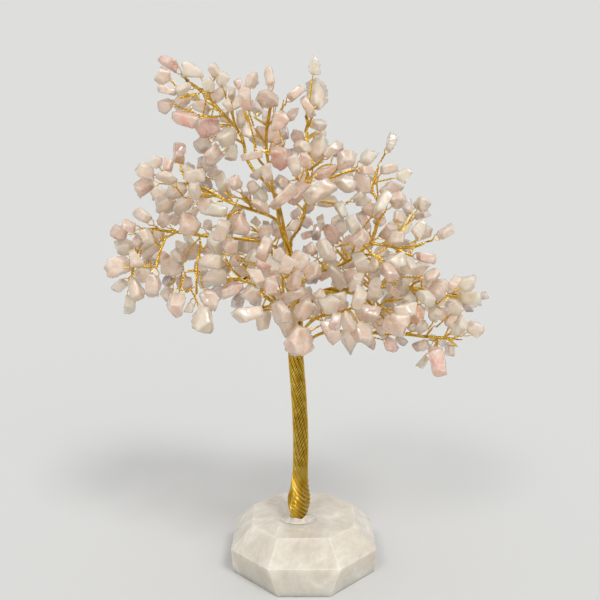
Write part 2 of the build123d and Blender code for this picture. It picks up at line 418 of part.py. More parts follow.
            (-28, 114, 7, 6, 160), (-25.5, 107.8, 7, 6, 240), (-18.5, 108.3, 7, 6, -100), (-17, 116.5, 7, 6, 90),
            (-33.5, 127, 7, 6, 150), (-32, 120.7, 7, 6, 210), (-26, 128.3, 7, 6, 100), (-22, 120.5, 7, 6, 200),
            (9.3, 110.7, 7, 6, 50), (8.5, 103.7, 7, 6, -60), (2, 105, 6, 6, -100), (-13, 122.5, 7, 6, 150),
            (-8.5, 127.5, 7, 6, 30), (-2, 114.5, 6, 5, 40), (-10, 108.7, 7, 6, -120), (-16, 127.5, 7, 6, 170),
            (-10.4, 134.5, 7, 5, 130),
        ],
    },
}

# How a stone is cut: counts, and shares of its own length, width and thickness
side_counts = (5, 5, 6, 6, 7)
bevel_counts = (2, 3, 4)
thickness_share = 0.52
side_wander_share = 0.3
side_cut_share = 0.2
taper_shares = (-0.15, 0.5)
side_tilt = math.radians(26)
bevel_tilt = math.radians(48)
bevel_depth_share = 0.84
bore_inset_share = 0.27
lean_limit = math.radians(24)

# How a stone hangs: the eye's bend, the shortest stem, the usual one, and the search for a free place
eye_bend = 0.32
eye_margin = 0.3
eye_close_share = 0.6
stem_least = 1.2
stem_usual = 3.5
facing_cost = 5.0
growing_cost = 3.0
nearer_share = 2.5
own_depth_share = 8.0
least_across = 0.4
least_pull_share = 0.55
depth_step = 1.3
depth_tries = 26
seat_tries = 7
view_direction = np.array([0.0, -1.0, 0.0])


def unit(vector):
    """The vector at length one."""
    return vector / np.linalg.norm(vector)


def seen(place):
    """The point seen at (x, z) on the middle plane, moved to its depth along the line of sight."""
    x, z, depth = place
    eye = np.array(eye_shares, dtype=float)
    flat = np.array([x, 0.0, z])
    return (eye + (flat - eye) * (depth - eye[1]) / -eye[1]) * share


class BentWire:
    """Centre line of straight runs joined by tangent arcs, with the wire's radius."""

    def __init__(self, points, radius, largest_reach=math.inf):
        self.radius = radius
        self.pieces = []
        kept = [np.array(point, dtype=float) for point in points]
        start = kept[0]
        for before, corner, after in zip(kept, kept[1:], kept[2:]):
            back = unit(before - corner)
            ahead = unit(after - corner)
            half = math.acos(np.clip(back @ ahead, -1, 1)) / 2
            if math.pi - 2 * half < straight_turn:
                continue
            shorter = min(np.linalg.norm(before - corner), np.linalg.norm(after - corner))
            reach = min(bend_share * shorter, largest_reach)
            bisector = unit(back + ahead)
            centre = corner + bisector * reach / math.cos(half)
            first = corner + back * reach
            last = corner + ahead * reach
            middle = centre - bisector * reach * math.tan(half)
            self.pieces.append((start, first))
            self.pieces.append((first, middle, last))
            start = last
        self.pieces.append((start, kept[-1]))
        self.line = self.sampled()
        self.tangents = np.gradient(self.line, axis=0)
        self.tangents /= np.linalg.norm(self.tangents, axis=1)[:, None]
        self.first_seat = 0
        self.last_seat = 0

    def sampled(self):
        """Points along the centre line, about a wire's diameter apart on the runs."""
        points = []
        self.owners = []
        for number, piece in enumerate(self.pieces):
            if len(piece) == 2:
                length = np.linalg.norm(piece[1] - piece[0])
                count = max(1, round(length / (2 * self.radius)))
                steps = np.arange(count)[:, None] / count
                points.append(piece[0] + (piece[1] - piece[0]) * steps)
            else:
                points.append(np.array([piece[0], piece[1]]))
            self.owners += [number] * len(points[-1])
        points.append(np.array([self.pieces[-1][1]]))
        self.owners.append(len(self.pieces) - 1)
        return np.concatenate(points)

    def cut_to_seats(self):
        """Cuts the wire off just past the last seat on it: a run at that place, an arc at its end."""
        end = self.last_seat + 1
        if end >= len(self.line) - 1:
            return
        owner = self.owners[end]
        kept = self.pieces[:owner]
        piece = self.pieces[owner]
        if len(piece) == 3:
            kept.append(piece)
        elif np.linalg.norm(self.line[end] - piece[0]) > self.radius:
            kept.append((piece[0], self.line[end]))
        self.pieces = kept

    def solid(self):
        """The round wire swept along its centre line."""
        edges = []
        for piece in self.pieces:
            places = [Vector(*point) for point in piece]
            if len(piece) == 2:
                edges.append(Edge.make_line(*places))
            else:
                edges.append(Edge.make_three_point_arc(*places))
        path = Wire(edges)
        first, last = self.pieces[0]
        section = Plane(origin=Vector(*first), z_dir=Vector(*(last - first))) * Circle(self.radius)
        return sweep(section, path=path)


def segment_gaps(start, end, starts, ends):
    """Least distance from one straight segment to each of many."""
    along = end - start
    others = ends - starts
    between = start - starts
    a = along @ along
    e = np.einsum("ij,ij->i", others, others) + least_square
    b = others @ along
    c = between @ along
    f = np.einsum("ij,ij->i", others, between)
    denominator = np.maximum(a * e - b * b, least_square)
    s = np.clip((b * f - c * e) / denominator, 0, 1)
    t = np.clip((b * s + f) / e, 0, 1)
    s = np.clip((b * t - c) / a, 0, 1)
    nearest = (start + s[:, None] * along) - (starts + t[:, None] * others)
    return np.linalg.norm(nearest, axis=1)


class WireStore:
    """Every wire placed so far, as short segments with their radii."""

    def __init__(self):
        self.starts = np.zeros((0, 3))
        self.ends = np.zeros((0, 3))
        self.radii = np.zeros(0)

    def add(self, line, radius):
        self.starts = np.concatenate([self.starts, line[:-1]])
        self.ends = np.concatenate([self.ends, line[1:]])
        self.radii = np.concatenate([self.radii, np.full(len(line) - 1, radius)])

    def room(self, start, end, radius, seat, seat_reach):
        """Least space between a new straight wire and the rest, apart from what is at its seat."""
        gaps = segment_gaps(start, end, self.starts, self.ends) - self.radii - radius
        middles = (self.starts + self.ends) / 2
        away = np.linalg.norm(middles - seat, axis=1) > seat_reach
        return gaps[away].min() if away.any() else math.inf


def solve_stone(normals, offsets):
    """Corners and faces of the stone inside all the cutting planes."""
    count = len(normals)
    triples = np.array([(i, j, k) for i in range(count) for j in range(i) for k in range(j)])
    systems = normals[triples]
    firm = np.abs(np.linalg.det(systems)) > parallel_limit
    corners = np.linalg.solve(systems[firm], offsets[triples[firm]][:, :, None])[:, :, 0]
    inside = (corners @ normals.T <= offsets + on_plane_gap).all(axis=1)
    corners = corners[inside]
    distinct = []
    for corner in corners:
        if all(np.linalg.norm(corner - other) > same_place for other in distinct):
            distinct.append(corner)
    corners = np.array(distinct)
    faces = []
    for normal, offset in zip(normals, offsets):
        on_plane = np.flatnonzero(np.abs(corners @ normal - offset) < 2 * on_plane_gap)
        if len(on_plane) < 3:
            continue
        centre = corners[on_plane].mean(axis=0)
        first = unit(corners[on_plane[0]] - centre)
        second = np.cross(normal, first)
        spokes = corners[on_plane] - centre
        order = np.argsort(np.arctan2(spokes @ second, spokes @ first))
        faces.append(on_plane[order])
    return corners, faces


def cut_stone(rng, length, width):
    """A tumbled chip: a flat many-sided stone, long along X and mostly tapered to -X, its broad faces across Z."""
    thickness = thickness_share * min(length, width) + thickness_share
    normals = [(0, 0, 1), (0, 0, -1)]
    offsets = [thickness / 2, thickness / 2]
    side_count = rng.choice(side_counts)
    first_side = rng.uniform(0, 2 * math.pi)
    for index in range(side_count):
        wander = rng.uniform(-side_wander_share, side_wander_share)
        angle = first_side + 2 * math.pi * (index + wander) / side_count
        tilt = rng.uniform(-side_tilt, side_tilt)
        reach = math.hypot(length / 2 * math.cos(angle), width / 2 * math.sin(angle))
        normals.append((math.cos(tilt) * math.cos(angle), math.cos(tilt) * math.sin(angle), math.sin(tilt)))
        offsets.append(reach * (1 - rng.uniform(0, side_cut_share)) * math.cos(tilt))
    for index in range(rng.choice(bevel_counts)):
        angle = rng.uniform(0, 2 * math.pi)
        tilt = bevel_tilt * (1 if index % 2 else -1)
        reach = math.hypot(length / 2 * math.cos(angle), width / 2 * math.sin(angle))
        normals.append((math.cos(tilt) * math.cos(angle), math.cos(tilt) * math.sin(angle), math.sin(tilt)))
        offsets.append(bevel_depth_share * (reach * math.cos(tilt) + thickness / 2 * abs(math.sin(tilt))))
    corners, faces = solve_stone(np.array(normals, dtype=float), np.array(offsets))
    corners = corners / (1 - rng.uniform(*taper_shares) * corners[:, :1] / length)
    low = corners.min(axis=0)
    high = corners.max(axis=0)
    wanted = np.array([length, width, thickness])
    corners = (corners - (low + high) / 2) * wanted / (high - low)
    return corners, faces, thickness


def stone_solid(corners, faces):
    """The closed solid with these corners and faces."""
    sides = []
    for face in faces:
        sides.append(Face(Wire.make_polygon([Vector(*corners[index]) for index in face], close=True)))
    return Solid(Shell(sides))


def outward_normals(corners, faces):
    """The unit normal of each face, pointing out of the stone."""
    centre = corners.mean(axis=0)
    normals = []
    for face in faces:
        normal = unit(np.cross(corners[face[1]] - corners[face[0]], corners[face[2]] - corners[face[0]]))
        normals.append(normal if normal @ (corners[face[0]] - centre) > 0 else -normal)
    return np.array(normals)


def half_section_width(corners, faces, place):
    """Middle and half width, across X, of the stone's section at x = place."""
    across = []
    for face in faces:
        for first, second in zip(face, np.roll(face, -1)):
            a = corners[first]
            b = corners[second]
            if (a[0] - place) * (b[0] - place) < 0:
                across.append(a[1] + (b[1] - a[1]) * (place - a[0]) / (b[0] - a[0]))
    return (min(across) + max(across)) / 2


class Chip:
    """One drilled stone with its wire eye and its twisted stem, hung on a wire at a seat."""

    def __init__(self, shape, centre, outward, seat, seat_tangent, seat_radius):
        self.local, self.faces, self.thickness = shape
        inset = self.local[:, 0].min() + bore_inset_share * np.ptp(self.local[:, 0])
        bore_local = np.array([inset, half_section_width(self.local, self.faces, inset), 0.0])
        pull = unit(centre + outward * inset - seat)
        across = np.cross(outward, pull)
        if np.linalg.norm(across) < least_across:
            across = view_direction - pull * (view_direction @ pull)
        if across @ view_direction < 0:
            across = -across
        broad = unit(across)
        for _ in range(2):
            long_axis = unit(outward - broad * (outward @ broad))
            frame = np.array([long_axis, np.cross(broad, long_axis), broad])
            self.bore = centre + bore_local @ frame
            pull = unit(self.bore - seat)
            broad = unit(broad - pull * (broad @ pull))
        self.corners = centre + self.local @ frame
        self.centre = centre
        self.broad = frame[2]
        self.pull = unit(pull - self.broad * (pull @ self.broad))
        self.normals = outward_normals(self.corners, self.faces)
        edge = ((self.corners - self.bore) @ -self.pull).max()
        self.rise = self.thickness / 2 + eye_bend
        self.leg = edge + eye_margin * chip_share
        self.eye_length = self.leg + eye_close_share * self.rise
        foot = self.bore - self.pull * self.eye_length
        radial = foot - seat
        radial = unit(radial - seat_tangent * (radial @ seat_tangent))
        way = unit(foot - seat)
        lift = seat_radius + seat_gap + stem_diameter / 2 * math.sqrt(max(0.0, 1 - (radial @ way) ** 2))
        self.stem_start = seat + radial * lift
        self.stem_end = foot
        way = unit(self.stem_end - self.stem_start)
        self.hull = np.concatenate([self.corners, self.eye_points(fine_wire_diameter / 2)])
        self.spread = np.linalg.norm(self.hull - self.centre, axis=1).max()

    def eye_points(self, extra=0.0):
        """Corners of the eye's centre line, opened by an extra amount."""
        half_pair = fine_wire_diameter / 2 + seat_gap / 2
        profile = [
            (-self.eye_length, half_pair), (-self.leg, self.rise + extra), (extra, self.rise + extra),
            (extra, -self.rise - extra), (-self.leg, -self.rise - extra), (-self.eye_length, -half_pair),
        ]
        return np.array([self.bore + self.pull * along + self.broad * across for along, across in profile])

    def clears_chip(self, other):
        """Whether some plane parts the two stones, eyes included, with the wanted gap."""
        between = other.centre - self.centre
        reach = np.linalg.norm(between)
        if reach > self.spread + other.spread + stone_gap:
            return True
        ways = np.concatenate([self.normals, -other.normals, (between / reach)[None, :]])
        space = (other.hull @ ways.T).min(axis=0) - (self.hull @ ways.T).max(axis=0)
        return space.max() > stone_gap

    def clears_wires(self, starts, ends, radii):
        """Whether every wire segment near the stone passes outside it with the wanted gap."""
        along = ends - starts
        scale = np.einsum("ij,ij->i", along, along) + least_square
        place = np.clip(np.einsum("ij,ij->i", self.centre - starts, along) / scale, 0, 1)
        nearest = starts + along * place[:, None]
        reach = np.linalg.norm(nearest - self.centre, axis=1)
        close = np.flatnonzero(reach < self.spread + radii + stone_gap)
        faces_out = (self.hull @ self.normals.T).max(axis=0)
        for index in close:
            a = starts[index]
            b = ends[index]
            space = (np.minimum(self.normals @ a, self.normals @ b) - faces_out).max() - radii[index]
            if space > stone_gap:
                continue
            way = unit(nearest[index] - self.centre)
            space = min(way @ a, way @ b) - (self.hull @ way).max() - radii[index]
            if space <= stone_gap:
                return False
        return True

    def stone(self):
        """The drilled stone."""
        body = stone_solid(self.corners, self.faces)
        drill = Solid.make_cylinder(
            chip_bore_diameter / 2,
            4 * self.rise,
            Plane(origin=Vector(*(self.bore - self.broad * 2 * self.rise)), z_dir=Vector(*self.broad)),
        )
        return body.cut(drill).solids()[0]

    def eye(self):
        """The loop of fine wire through the bore, closed round the stone's inner edge."""
        return BentWire(self.eye_points(), fine_wire_diameter / 2, eye_bend).solid()

    def stem(self):
        """The twisted pair that carries the eye."""
        way = self.stem_end - self.stem_start
        length = np.linalg.norm(way) - seat_gap
        place = Plane(origin=Vector(*self.stem_start), z_dir=Vector(*way))
        return Solid.make_cylinder(stem_diameter / 2, length, place)


def lay_angle(height):
    """Turn of the trunk's twist at a height, counted from the datum, in radians."""
    heights = np.linspace(0, lay_shares[-1][0], 1801)
    rates = np.interp(heights, [row[0] for row in lay_shares], [row[1] for row in lay_shares])
    turned = np.concatenate([[0], np.cumsum((rates[1:] + rates[:-1]) / 2 * np.diff(heights))])
    datum = np.interp(lay_datum_share, heights, turned)
    return math.radians(np.interp(height, heights, turned) - datum)


def lay_rate(height):
    """Twist at a height, in radians for each millimetre."""
    rate = np.interp(height, [row[0] for row in lay_shares], [row[1] for row in lay_shares])
    return math.radians(rate) / share


def axis_point(rows, place, column):
    """Smooth value of one column of a line's table at a place between its first and last rows."""
    keys = [row[column[0]] for row in rows]
    values = [row[column[1]] for row in rows]
    index = min(max(np.searchsorted(keys, place) - 1, 0), len(keys) - 2)
    slopes = np.gradient(values, keys)
    span = keys[index + 1] - keys[index]
    t = (place - keys[index]) / span
    return (
        (2 * t**3 - 3 * t**2 + 1) * values[index]
        + (t**3 - 2 * t**2 + t) * span * slopes[index]
        + (3 * t**2 - 2 * t**3) * values[index + 1]
        + (t**3 - t**2) * span * slopes[index + 1]
    )


def trunk_middle(height):
    """Middle of the trunk at a height share."""
    x = axis_point(trunk_axis_shares, height, (1, 0))
    depth = axis_point(trunk_axis_shares, height, (1, 2))
    return np.array([x, depth, height]) * share


def core_radius():
    """Circle of the core strands' middles: they clear each other at the tightest lay."""
    spacing = strand_diameter + wire_gap
    tightest = max(row[1] for row in lay_shares)
    rate = math.radians(tightest) / share
    square = 2 * math.sin(math.pi / core_count)
    return spacing / math.sqrt(square**2 - (spacing * rate / square) ** 2)


def ring_radius(height):
    """Circle of the ring strands' middles: they clear the core and, where the lay is tight, each other."""
    spacing = strand_diameter + wire_gap
    square = 4 * math.sin(math.pi / ring_count) ** 2 - (spacing * lay_rate(height)) ** 2
    crowded = spacing / math.sqrt(square)
    return max(core_radius() + strand_diameter + 2 * wire_gap, crowded)


def strand_point(height, slot_angle, radius):
    """Middle of a strand at a height, turned by the trunk's left-hand lay."""
    angle = slot_angle - lay_angle(height)
    tip = trunk_middle(height + slope_step_share)
    tail = trunk_middle(height - slope_step_share)
    up = unit(tip - tail)
    right = unit(np.array([1.0, 0.0, 0.0]) - up * up[0])
    back = np.cross(up, right)
    return trunk_middle(height) + radius * (math.cos(angle) * right + math.sin(angle) * back)


def trunk_heights(bottom, top):
    """Heights at which a strand's route has a point: closer together where the lay is tight."""
    heights = [bottom]
    while heights[-1] < top:
        rate = lay_rate(heights[-1] + longest_step_share / 4) * share
        heights.append(heights[-1] + min(longest_step_share, turn_step / rate))
    return heights


def bundle_points(angle):
    """Middle of one of the three strands twisted together along the right bough."""
    line = np.array([seen(row) for row in right_bough_shares])
    lengths = np.concatenate([[0], np.cumsum(np.linalg.norm(np.diff(line, axis=0), axis=1))])
    lay = right_bough_lay / share
    radius = (strand_diameter + bundle_gap) / math.sqrt(3)
    points = []
    for place in np.linspace(0, lengths[-1], math.ceil(lengths[-1] * lay / turn_step) + 1):
        middle = np.array([np.interp(place, lengths, line[:, axis]) for axis in range(3)])
        index = min(np.searchsorted(lengths, place, side="right"), len(lengths) - 1)
        along = unit(line[index] - line[index - 1])
        back = unit(np.array([0.0, 1.0, 0.0]) - along * along[1])
        up = np.cross(along, back)
        turned = angle - lay * place
        points.append(middle + radius * (math.cos(turned) * back - math.sin(turned) * up))
    return points


def strand_route(bough):
    """Every point of a bough's strand, from the hole in the base to the bough's end."""
    bottom = (base_height - hole_depth + hole_floor_gap) / share
    points = []
    heights = [height for height in trunk_heights(bottom, bough["leaves"]) if height < bough["leaves"] - last_step_share]
    for height in heights + [bough["leaves"]]:
        if "ring" in bough:
            angle = 2 * math.pi * bough["ring"] / ring_count
            points.append(strand_point(height, angle, ring_radius(height)))
        else:
            angle = core_first_angle + 2 * math.pi * bough["core"] / core_count
            points.append(strand_point(height, angle, core_radius()))
    if "bough_angle" in bough:
        points.extend(bundle_points(math.radians(bough["bough_angle"])))
    points.extend(seen(row) for row in bough["route"])
    return points


def grow_twig(rows, carriers, store):
    """A twig on its bough: its points beyond the seat go deeper or nearer until it passes everything."""
    wanted = [seen(row) for row in rows]
    best = None
    for attempt in range(2 * depth_tries):
        shift = depth_step * ((attempt + 1) // 2) * (1 if attempt % 2 else -1)
        points = [wanted[0]]
        for index, row in enumerate(rows[1:]):
            eased = min(1.0, (index + 1) / 2)
            points.append(seen((row[0], row[1], row[2] + shift / share * eased)))
        carrier = min(carriers, key=lambda wire: np.linalg.norm(wire.line - wanted[0], axis=1).min())
        near = np.linalg.norm(carrier.line - wanted[0], axis=1).argmin()
        seat = carrier.line[near]
        tangent = carrier.tangents[near]
        way = points[1] - seat
        radial = unit(way - tangent * (way @ tangent))
        way = unit(way)
        lift = carrier.radius + seat_gap + twig_diameter / 2 * math.sqrt(max(0.0, 1 - (radial @ way) ** 2))
        points[0] = seat + radial * lift
        twig = BentWire(points, twig_diameter / 2)
        rooms = [store.room(a, b, twig.radius, seat, 3 * strand_diameter)
                 for a, b in zip(twig.line, twig.line[1:])]
        if best is None or min(rooms) > best[0]:
            best = (min(rooms), twig, carrier, near)
        if min(rooms) > wire_gap:
            break
    room, twig, carrier, near = best
    carrier.last_seat = max(carrier.last_seat, near)
    return room, twig


def seat_choices(wires, centre, outward, inset):
    """Seats on the bough's wires, best first: near, behind the stone, and growing the same way."""
    choices = []
    bore = centre + outward * inset
    for wire in wires:
        way = bore - wire.line[wire.first_seat:]
        length = np.linalg.norm(way, axis=1)
        way = way / length[:, None]
        along = np.einsum("ij,ij->i", way, wire.tangents[wire.first_seat:])
        cost = np.abs(length - stem_usual * chip_share - abs(inset))
        cost = cost + facing_cost * (1 - way @ outward) + growing_cost * (1 - along)
        for index in np.argsort(cost)[:seat_tries]:
            choices.append((cost[index], wire, wire.first_seat + index))
    choices.sort(key=lambda choice: choice[0])
    return choices[:seat_tries]


def hang_chip(row, rng, wires, store, chips):
    """A chip seen at its place, at the nearest depth where stone, eye and stem all pass clear."""
    x, z, length, width, angle = row[:5]
    shape = cut_stone(rng, length * chip_share, width * chip_share)
    inset = shape[0][:, 0].min() + bore_inset_share * np.ptp(shape[0][:, 0])
    lean = rng.uniform(-lean_limit, lean_limit)
    heading = math.radians(angle)
    outward = np.array([math.cos(heading) * math.cos(lean), math.sin(lean), math.sin(heading) * math.cos(lean)])
    places = np.concatenate([wire.line[wire.first_seat:] for wire in wires])
    flat = seen((x, z, 0))
    eye = np.array(eye_shares) * share
    sight = unit(flat - eye)
    offsets = places - flat
    across = np.linalg.norm(offsets - np.outer(offsets @ sight, sight), axis=1)
    depth = row[5] if len(row) > 5 else 0
    deeper = depth > own_depth_share
    if deeper:
        across = across + np.maximum(0, depth * share - places[:, 1]) / 2
    wire_depth = places[across.argmin(), 1] / share
    wanted_depth = wire_depth if deeper else wire_depth + depth / 2 - nearer_share
    for attempt in range(2 * depth_tries):
        shift = depth_step * ((attempt + 1) // 2) * (1 if attempt % 2 == deeper else -1)
        centre = seen((x, z, wanted_depth + shift / share))
        for cost, wire, index in seat_choices(wires, centre, outward, inset):
            chip = Chip(shape, centre, outward, wire.line[index], wire.tangents[index], wire.radius)
            length_left = np.linalg.norm(chip.stem_end - chip.stem_start)
            if length_left < stem_least * chip_share:
                continue
            if (chip.stem_end - chip.stem_start) @ chip.pull < least_pull_share * length_left:
                continue
            stem_room = store.room(chip.stem_start, chip.stem_end, stem_diameter / 2, wire.line[index],
                                   wire.radius * 2 + stem_diameter)
            if stem_room < wire_gap:
                continue
            if not chip.clears_wires(store.starts, store.ends, store.radii):
                continue
            stem = (chip.stem_start[None, :], chip.stem_end[None, :], np.array([stem_diameter / 2]))
            near = [other for other in chips
                    if np.linalg.norm(other.centre - centre) < other.spread + chip.spread + length_left]
            if not all(chip.clears_chip(other) for other in near):
                continue
            if not all(other.clears_wires(*stem) for other in near):
                continue
            store.add(np.array([chip.stem_start, chip.stem_end]), stem_diameter / 2)
            wire.last_seat = max(wire.last_seat, index)
            return chip
    return None


def octagon(flat, corner, height):
    """Eight-sided outline with its own half widths across the flats and across the cut corners."""
    reach = corner * math.sqrt(2) - flat
    places = [(flat, -reach), (flat, reach), (reach, flat), (-reach, flat),
              (-flat, reach), (-flat, -reach), (-reach, -flat), (reach, -flat)]
    return [(x, y, height) for x, y in places]


def faceted_band(lower, upper):
    """The flat-sided solid between two outlines with matching corners."""
    faces = [Face(Wire.make_polygon(lower, close=True)), Face(Wire.make_polygon(upper, close=True))]
    count = len(lower)
    for index in range(count):
        following = (index + 1) % count
        corners = [lower[index], lower[following], upper[following], upper[index]]
        faces.append(Face(Wire.make_polygon(corners, close=True)))
    return Solid(Shell(faces))


def foot_radius():
    """Outer radius of the bundle of wires at the base."""
    return ring_radius(base_height / share) + strand_diameter / 2


def base_stone():
    """The faceted quartz base with its drilled blind hole."""
    foot = octagon(foot_flat_share * base_width, foot_corner_share * base_width, 0)
    girdle = octagon(girdle_flat_share * base_width, girdle_corner_share * base_width, girdle_height)
    top = octagon(top_flat_share * base_width, top_corner_share * base_width, base_height)
    body = faceted_band(foot, girdle).fuse(faceted_band(girdle, top))
    hole_radius = foot_radius() + glue_gap + glue_wall
    hole = Pos(*hole_place, base_height - hole_depth) * Cylinder(
        hole_radius, 2 * hole_depth, align=(Align.CENTER, Align.CENTER, Align.MIN))
    return (body - hole).solids()[0]


def glue():
    """Clear glue: a sleeve round the wires in the hole, a collar at their foot and a smear on the stone."""
    inner = foot_radius() + glue_gap
    outer = inner + glue_wall
    bottom = base_height - hole_depth + hole_floor_gap
    profile = Polyline(
        (inner, bottom), (outer, bottom), (outer, base_height), (outer + glue_collar_spread, base_height),
        (outer + glue_collar_spread, base_height + glue_smear_thickness),
        (inner + glue_wall, base_height + glue_collar_rise / 2), (inner, base_height + glue_collar_rise),
        (inner, bottom))
    collar = revolve(Plane.XZ * make_face(profile), Axis.Z)
    smear = Ellipse(glue_smear_length / 2, glue_smear_width / 2)
    smear = Pos(0, 0, base_height) * extrude(smear, glue_smear_thickness)
    smear = smear - Pos(0, 0, base_height) * Cylinder(outer, 2 * glue_collar_rise)
    return (Pos(*hole_place, 0) * (collar + smear)).solids()[0]


def write_node(name, solids):
    """One STEP file for one sub-part."""
    shape = solids[0] if len(solids) == 1 else Compound(children=list(solids))
    shape.label = name
    export_step(shape, f"parts/{name}.step")


def main():
    os.makedirs("parts", exist_ok=True)
    write_node("base_stone", [base_stone()])
    write_node("glue_collar", [glue()])
    store = WireStore()
    strands = {}
    for name, bough in BOUGH_SHARES.items():
        strand = BentWire(strand_route(bough), strand_diameter / 2)
        strand.first_seat = np.linalg.norm(strand.line - seen(bough["route"][0]), axis=1).argmin()
        strand.last_seat = strand.first_seat
        store.add(strand.line, strand.radius)
        strands[name] = strand
    twigs = {}
    for name, bough in BOUGH_SHARES.items():
        twigs[name] = []
        for rows in bough["twigs"]:
            room, twig = grow_twig(rows, [strands[name]] + twigs[name], store)
            if room < wire_gap:
                print(f"{name}: a twig has only {room:.2f} mm of room")
            twigs[name].append(twig)
            store.add(twig.line, twig.radius)
    chips = {name: [] for name in BOUGH_SHARES}
    placed = []
    for number, (name, bough) in enumerate(BOUGH_SHARES.items()):
        wires = twigs[name] + [strands[name]]
        for index, row in enumerate(bough["chips"]):
            rng = np.random.default_rng([number, round(abs(row[0]) * 10), round(row[1] * 10)])
            chip = hang_chip(row, rng, wires, store, placed)
            if chip is None:
                print(f"{name}: no free place for chip {index} at {row[:2]}")
                continue
            chips[name].append(chip)
            placed.append(chip)
    print(f"{len(placed)} chips on {len(BOUGH_SHARES)} boughs and {sum(len(t) for t in twigs.values())} twigs")
    for name in BOUGH_SHARES:
        used = [twig for twig in twigs[name] if twig.last_seat > 0]
        for wire in used + [strands[name]]:
            wire.cut_to_seats()
        write_node(f"{name}_strand", [strands[name].solid()])
        carriers = [twig.solid() for twig in used]
        write_node(f"{name}_twigs", carriers + [chip.stem() for chip in chips[name]])
        write_node(f"{name}_eyes", [chip.eye() for chip in chips[name]])
        write_node(f"{name}_chips", [chip.stone() for chip in chips[name]])


main()
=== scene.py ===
"""Gemstone tree ornament: looks for the CAD frame, laid out as an add-on and run as a script.

The wires' routes and the stones' planes are read from the frame's own meshes, so each piece lies where its
solid lies.
"""

import math

import bpy
import numpy as np
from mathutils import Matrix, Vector


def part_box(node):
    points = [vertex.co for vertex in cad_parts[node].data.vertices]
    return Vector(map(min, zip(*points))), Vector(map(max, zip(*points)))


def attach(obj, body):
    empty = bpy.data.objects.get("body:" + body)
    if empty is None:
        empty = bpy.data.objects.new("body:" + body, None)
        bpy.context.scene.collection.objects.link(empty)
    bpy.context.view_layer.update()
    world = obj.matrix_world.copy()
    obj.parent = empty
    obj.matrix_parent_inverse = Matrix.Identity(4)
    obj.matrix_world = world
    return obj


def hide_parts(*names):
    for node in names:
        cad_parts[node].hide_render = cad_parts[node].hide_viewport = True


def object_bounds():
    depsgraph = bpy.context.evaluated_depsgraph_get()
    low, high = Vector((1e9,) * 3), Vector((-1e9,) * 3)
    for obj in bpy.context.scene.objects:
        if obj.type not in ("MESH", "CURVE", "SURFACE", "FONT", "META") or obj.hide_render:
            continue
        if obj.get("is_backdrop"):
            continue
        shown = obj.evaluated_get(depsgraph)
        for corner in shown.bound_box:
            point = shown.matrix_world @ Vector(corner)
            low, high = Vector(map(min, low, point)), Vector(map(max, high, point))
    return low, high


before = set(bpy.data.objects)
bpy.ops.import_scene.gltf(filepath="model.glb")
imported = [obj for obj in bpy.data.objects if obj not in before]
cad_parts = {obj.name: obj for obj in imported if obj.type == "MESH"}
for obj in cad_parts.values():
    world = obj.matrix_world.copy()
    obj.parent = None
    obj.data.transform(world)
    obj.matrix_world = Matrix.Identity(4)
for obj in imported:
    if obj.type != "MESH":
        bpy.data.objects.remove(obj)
cad_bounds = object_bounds()

bl_info = {
    "name": "Gemstone tree",
    "version": (1, 0, 0),
    "blender": (4, 5, 0),
    "location": "3D View > Sidebar > Gem tree",
    "description": "Twisted wire boughs, tumbled rose quartz chips and a cut quartz base",
    "category": "Add Mesh",
}

BOUGHS = [
    "top_left", "top_centre", "top_right", "left_mid", "left_reach", "left_low", "front_left",
    "front_low", "right_low", "right_front", "right_reach", "back_right", "right_mid", "back_left",
]
TURN = 2 * math.pi

# Corners of a CAD mesh this near each other are one point, and a point this near a plane lies in it.
MERGE_STEP = 2e-6
PLANE_SLACK = 1e-5
# Twice the area below which a triangle faces nowhere, and the shortest step between two rings of a wire.
NO_AREA = 1e-14
SHORTEST_STEP = 1e-5
# Faces meet at the rim of a wire's flat end where the cosine between them is below this.
RIM_COSINE = 0.5
# The least area of a chip's facet, and the cosine from which two triangles are one facet.
LEAST_FACET = 1e-9
SAME_FACET = 0.995

# Each kind of rope: its wires, the steps in one turn, and how far short of the one before each wire stops.
ROPES = {"strand": (6, 9, 0.0009), "twig": (4, 9, 0.0008), "pair": (2, 8, 0.0)}
WIRE_SIDES = 6
# A straight solid up to this many wires thick is a stem's twisted pair.
PAIR_SPAN = 2.3
# The share of its distance from the middle that a wire keeps at its rope's end.
CLOSED_SHARE = 0.3
# How level and how wide the wires of a rope lie in the trunk.
LEVELLING = 0.7
SPREADING = 0.3
# How deep the painted shade in the grooves is in twigs and stems, as a share of the trunk's.
THIN_GROOVE_SHADE = 0.3
# Below this height every strand is still in the trunk, whose middle is worked out at these steps.
TRUNK_TOP = 0.086
TRUNK_STEP = 0.001
# Up to this height the trunk's lay is tight, and from there its wires take this length to lie level.
FOOT_TOP = 0.033
LEVELLED_LENGTH = 0.006
# An eye's steps, in wire diameters, and the share of its width that it keeps when it is drawn in. Its one
# wire turns once in a metre, which is no twist at all.
EYE_STEP = 0.8
EYE_WIDTH = 0.5
NO_TWIST = 1.0

CHIP_SEED = 7
# Hollows worn into a chip: how many waves make them, how fast these go over one radian, and how deep they
# go, as a share of its size.
WEAR_WAVES = 5
WIDE_WEAR = (2.8, 0.18)
FINE_WEAR = (7.5, 0.05)
# A point of a chip takes the painted edge highlight where its second plane is at least this share as near as
# its first.
HIGHLIGHT_FROM = 0.88
# A chip's tone is drawn at random in this shape, up to this reach.
TONE_SHAPE = (1.5, 3.0)
TONE_REACH = 0.72
# The tone of grey chips, their share of the chips at the back, and how far back these start.
GREY_TONE = 0.8
GREY_SHARE = 0.3
GREY_FROM = 0.012
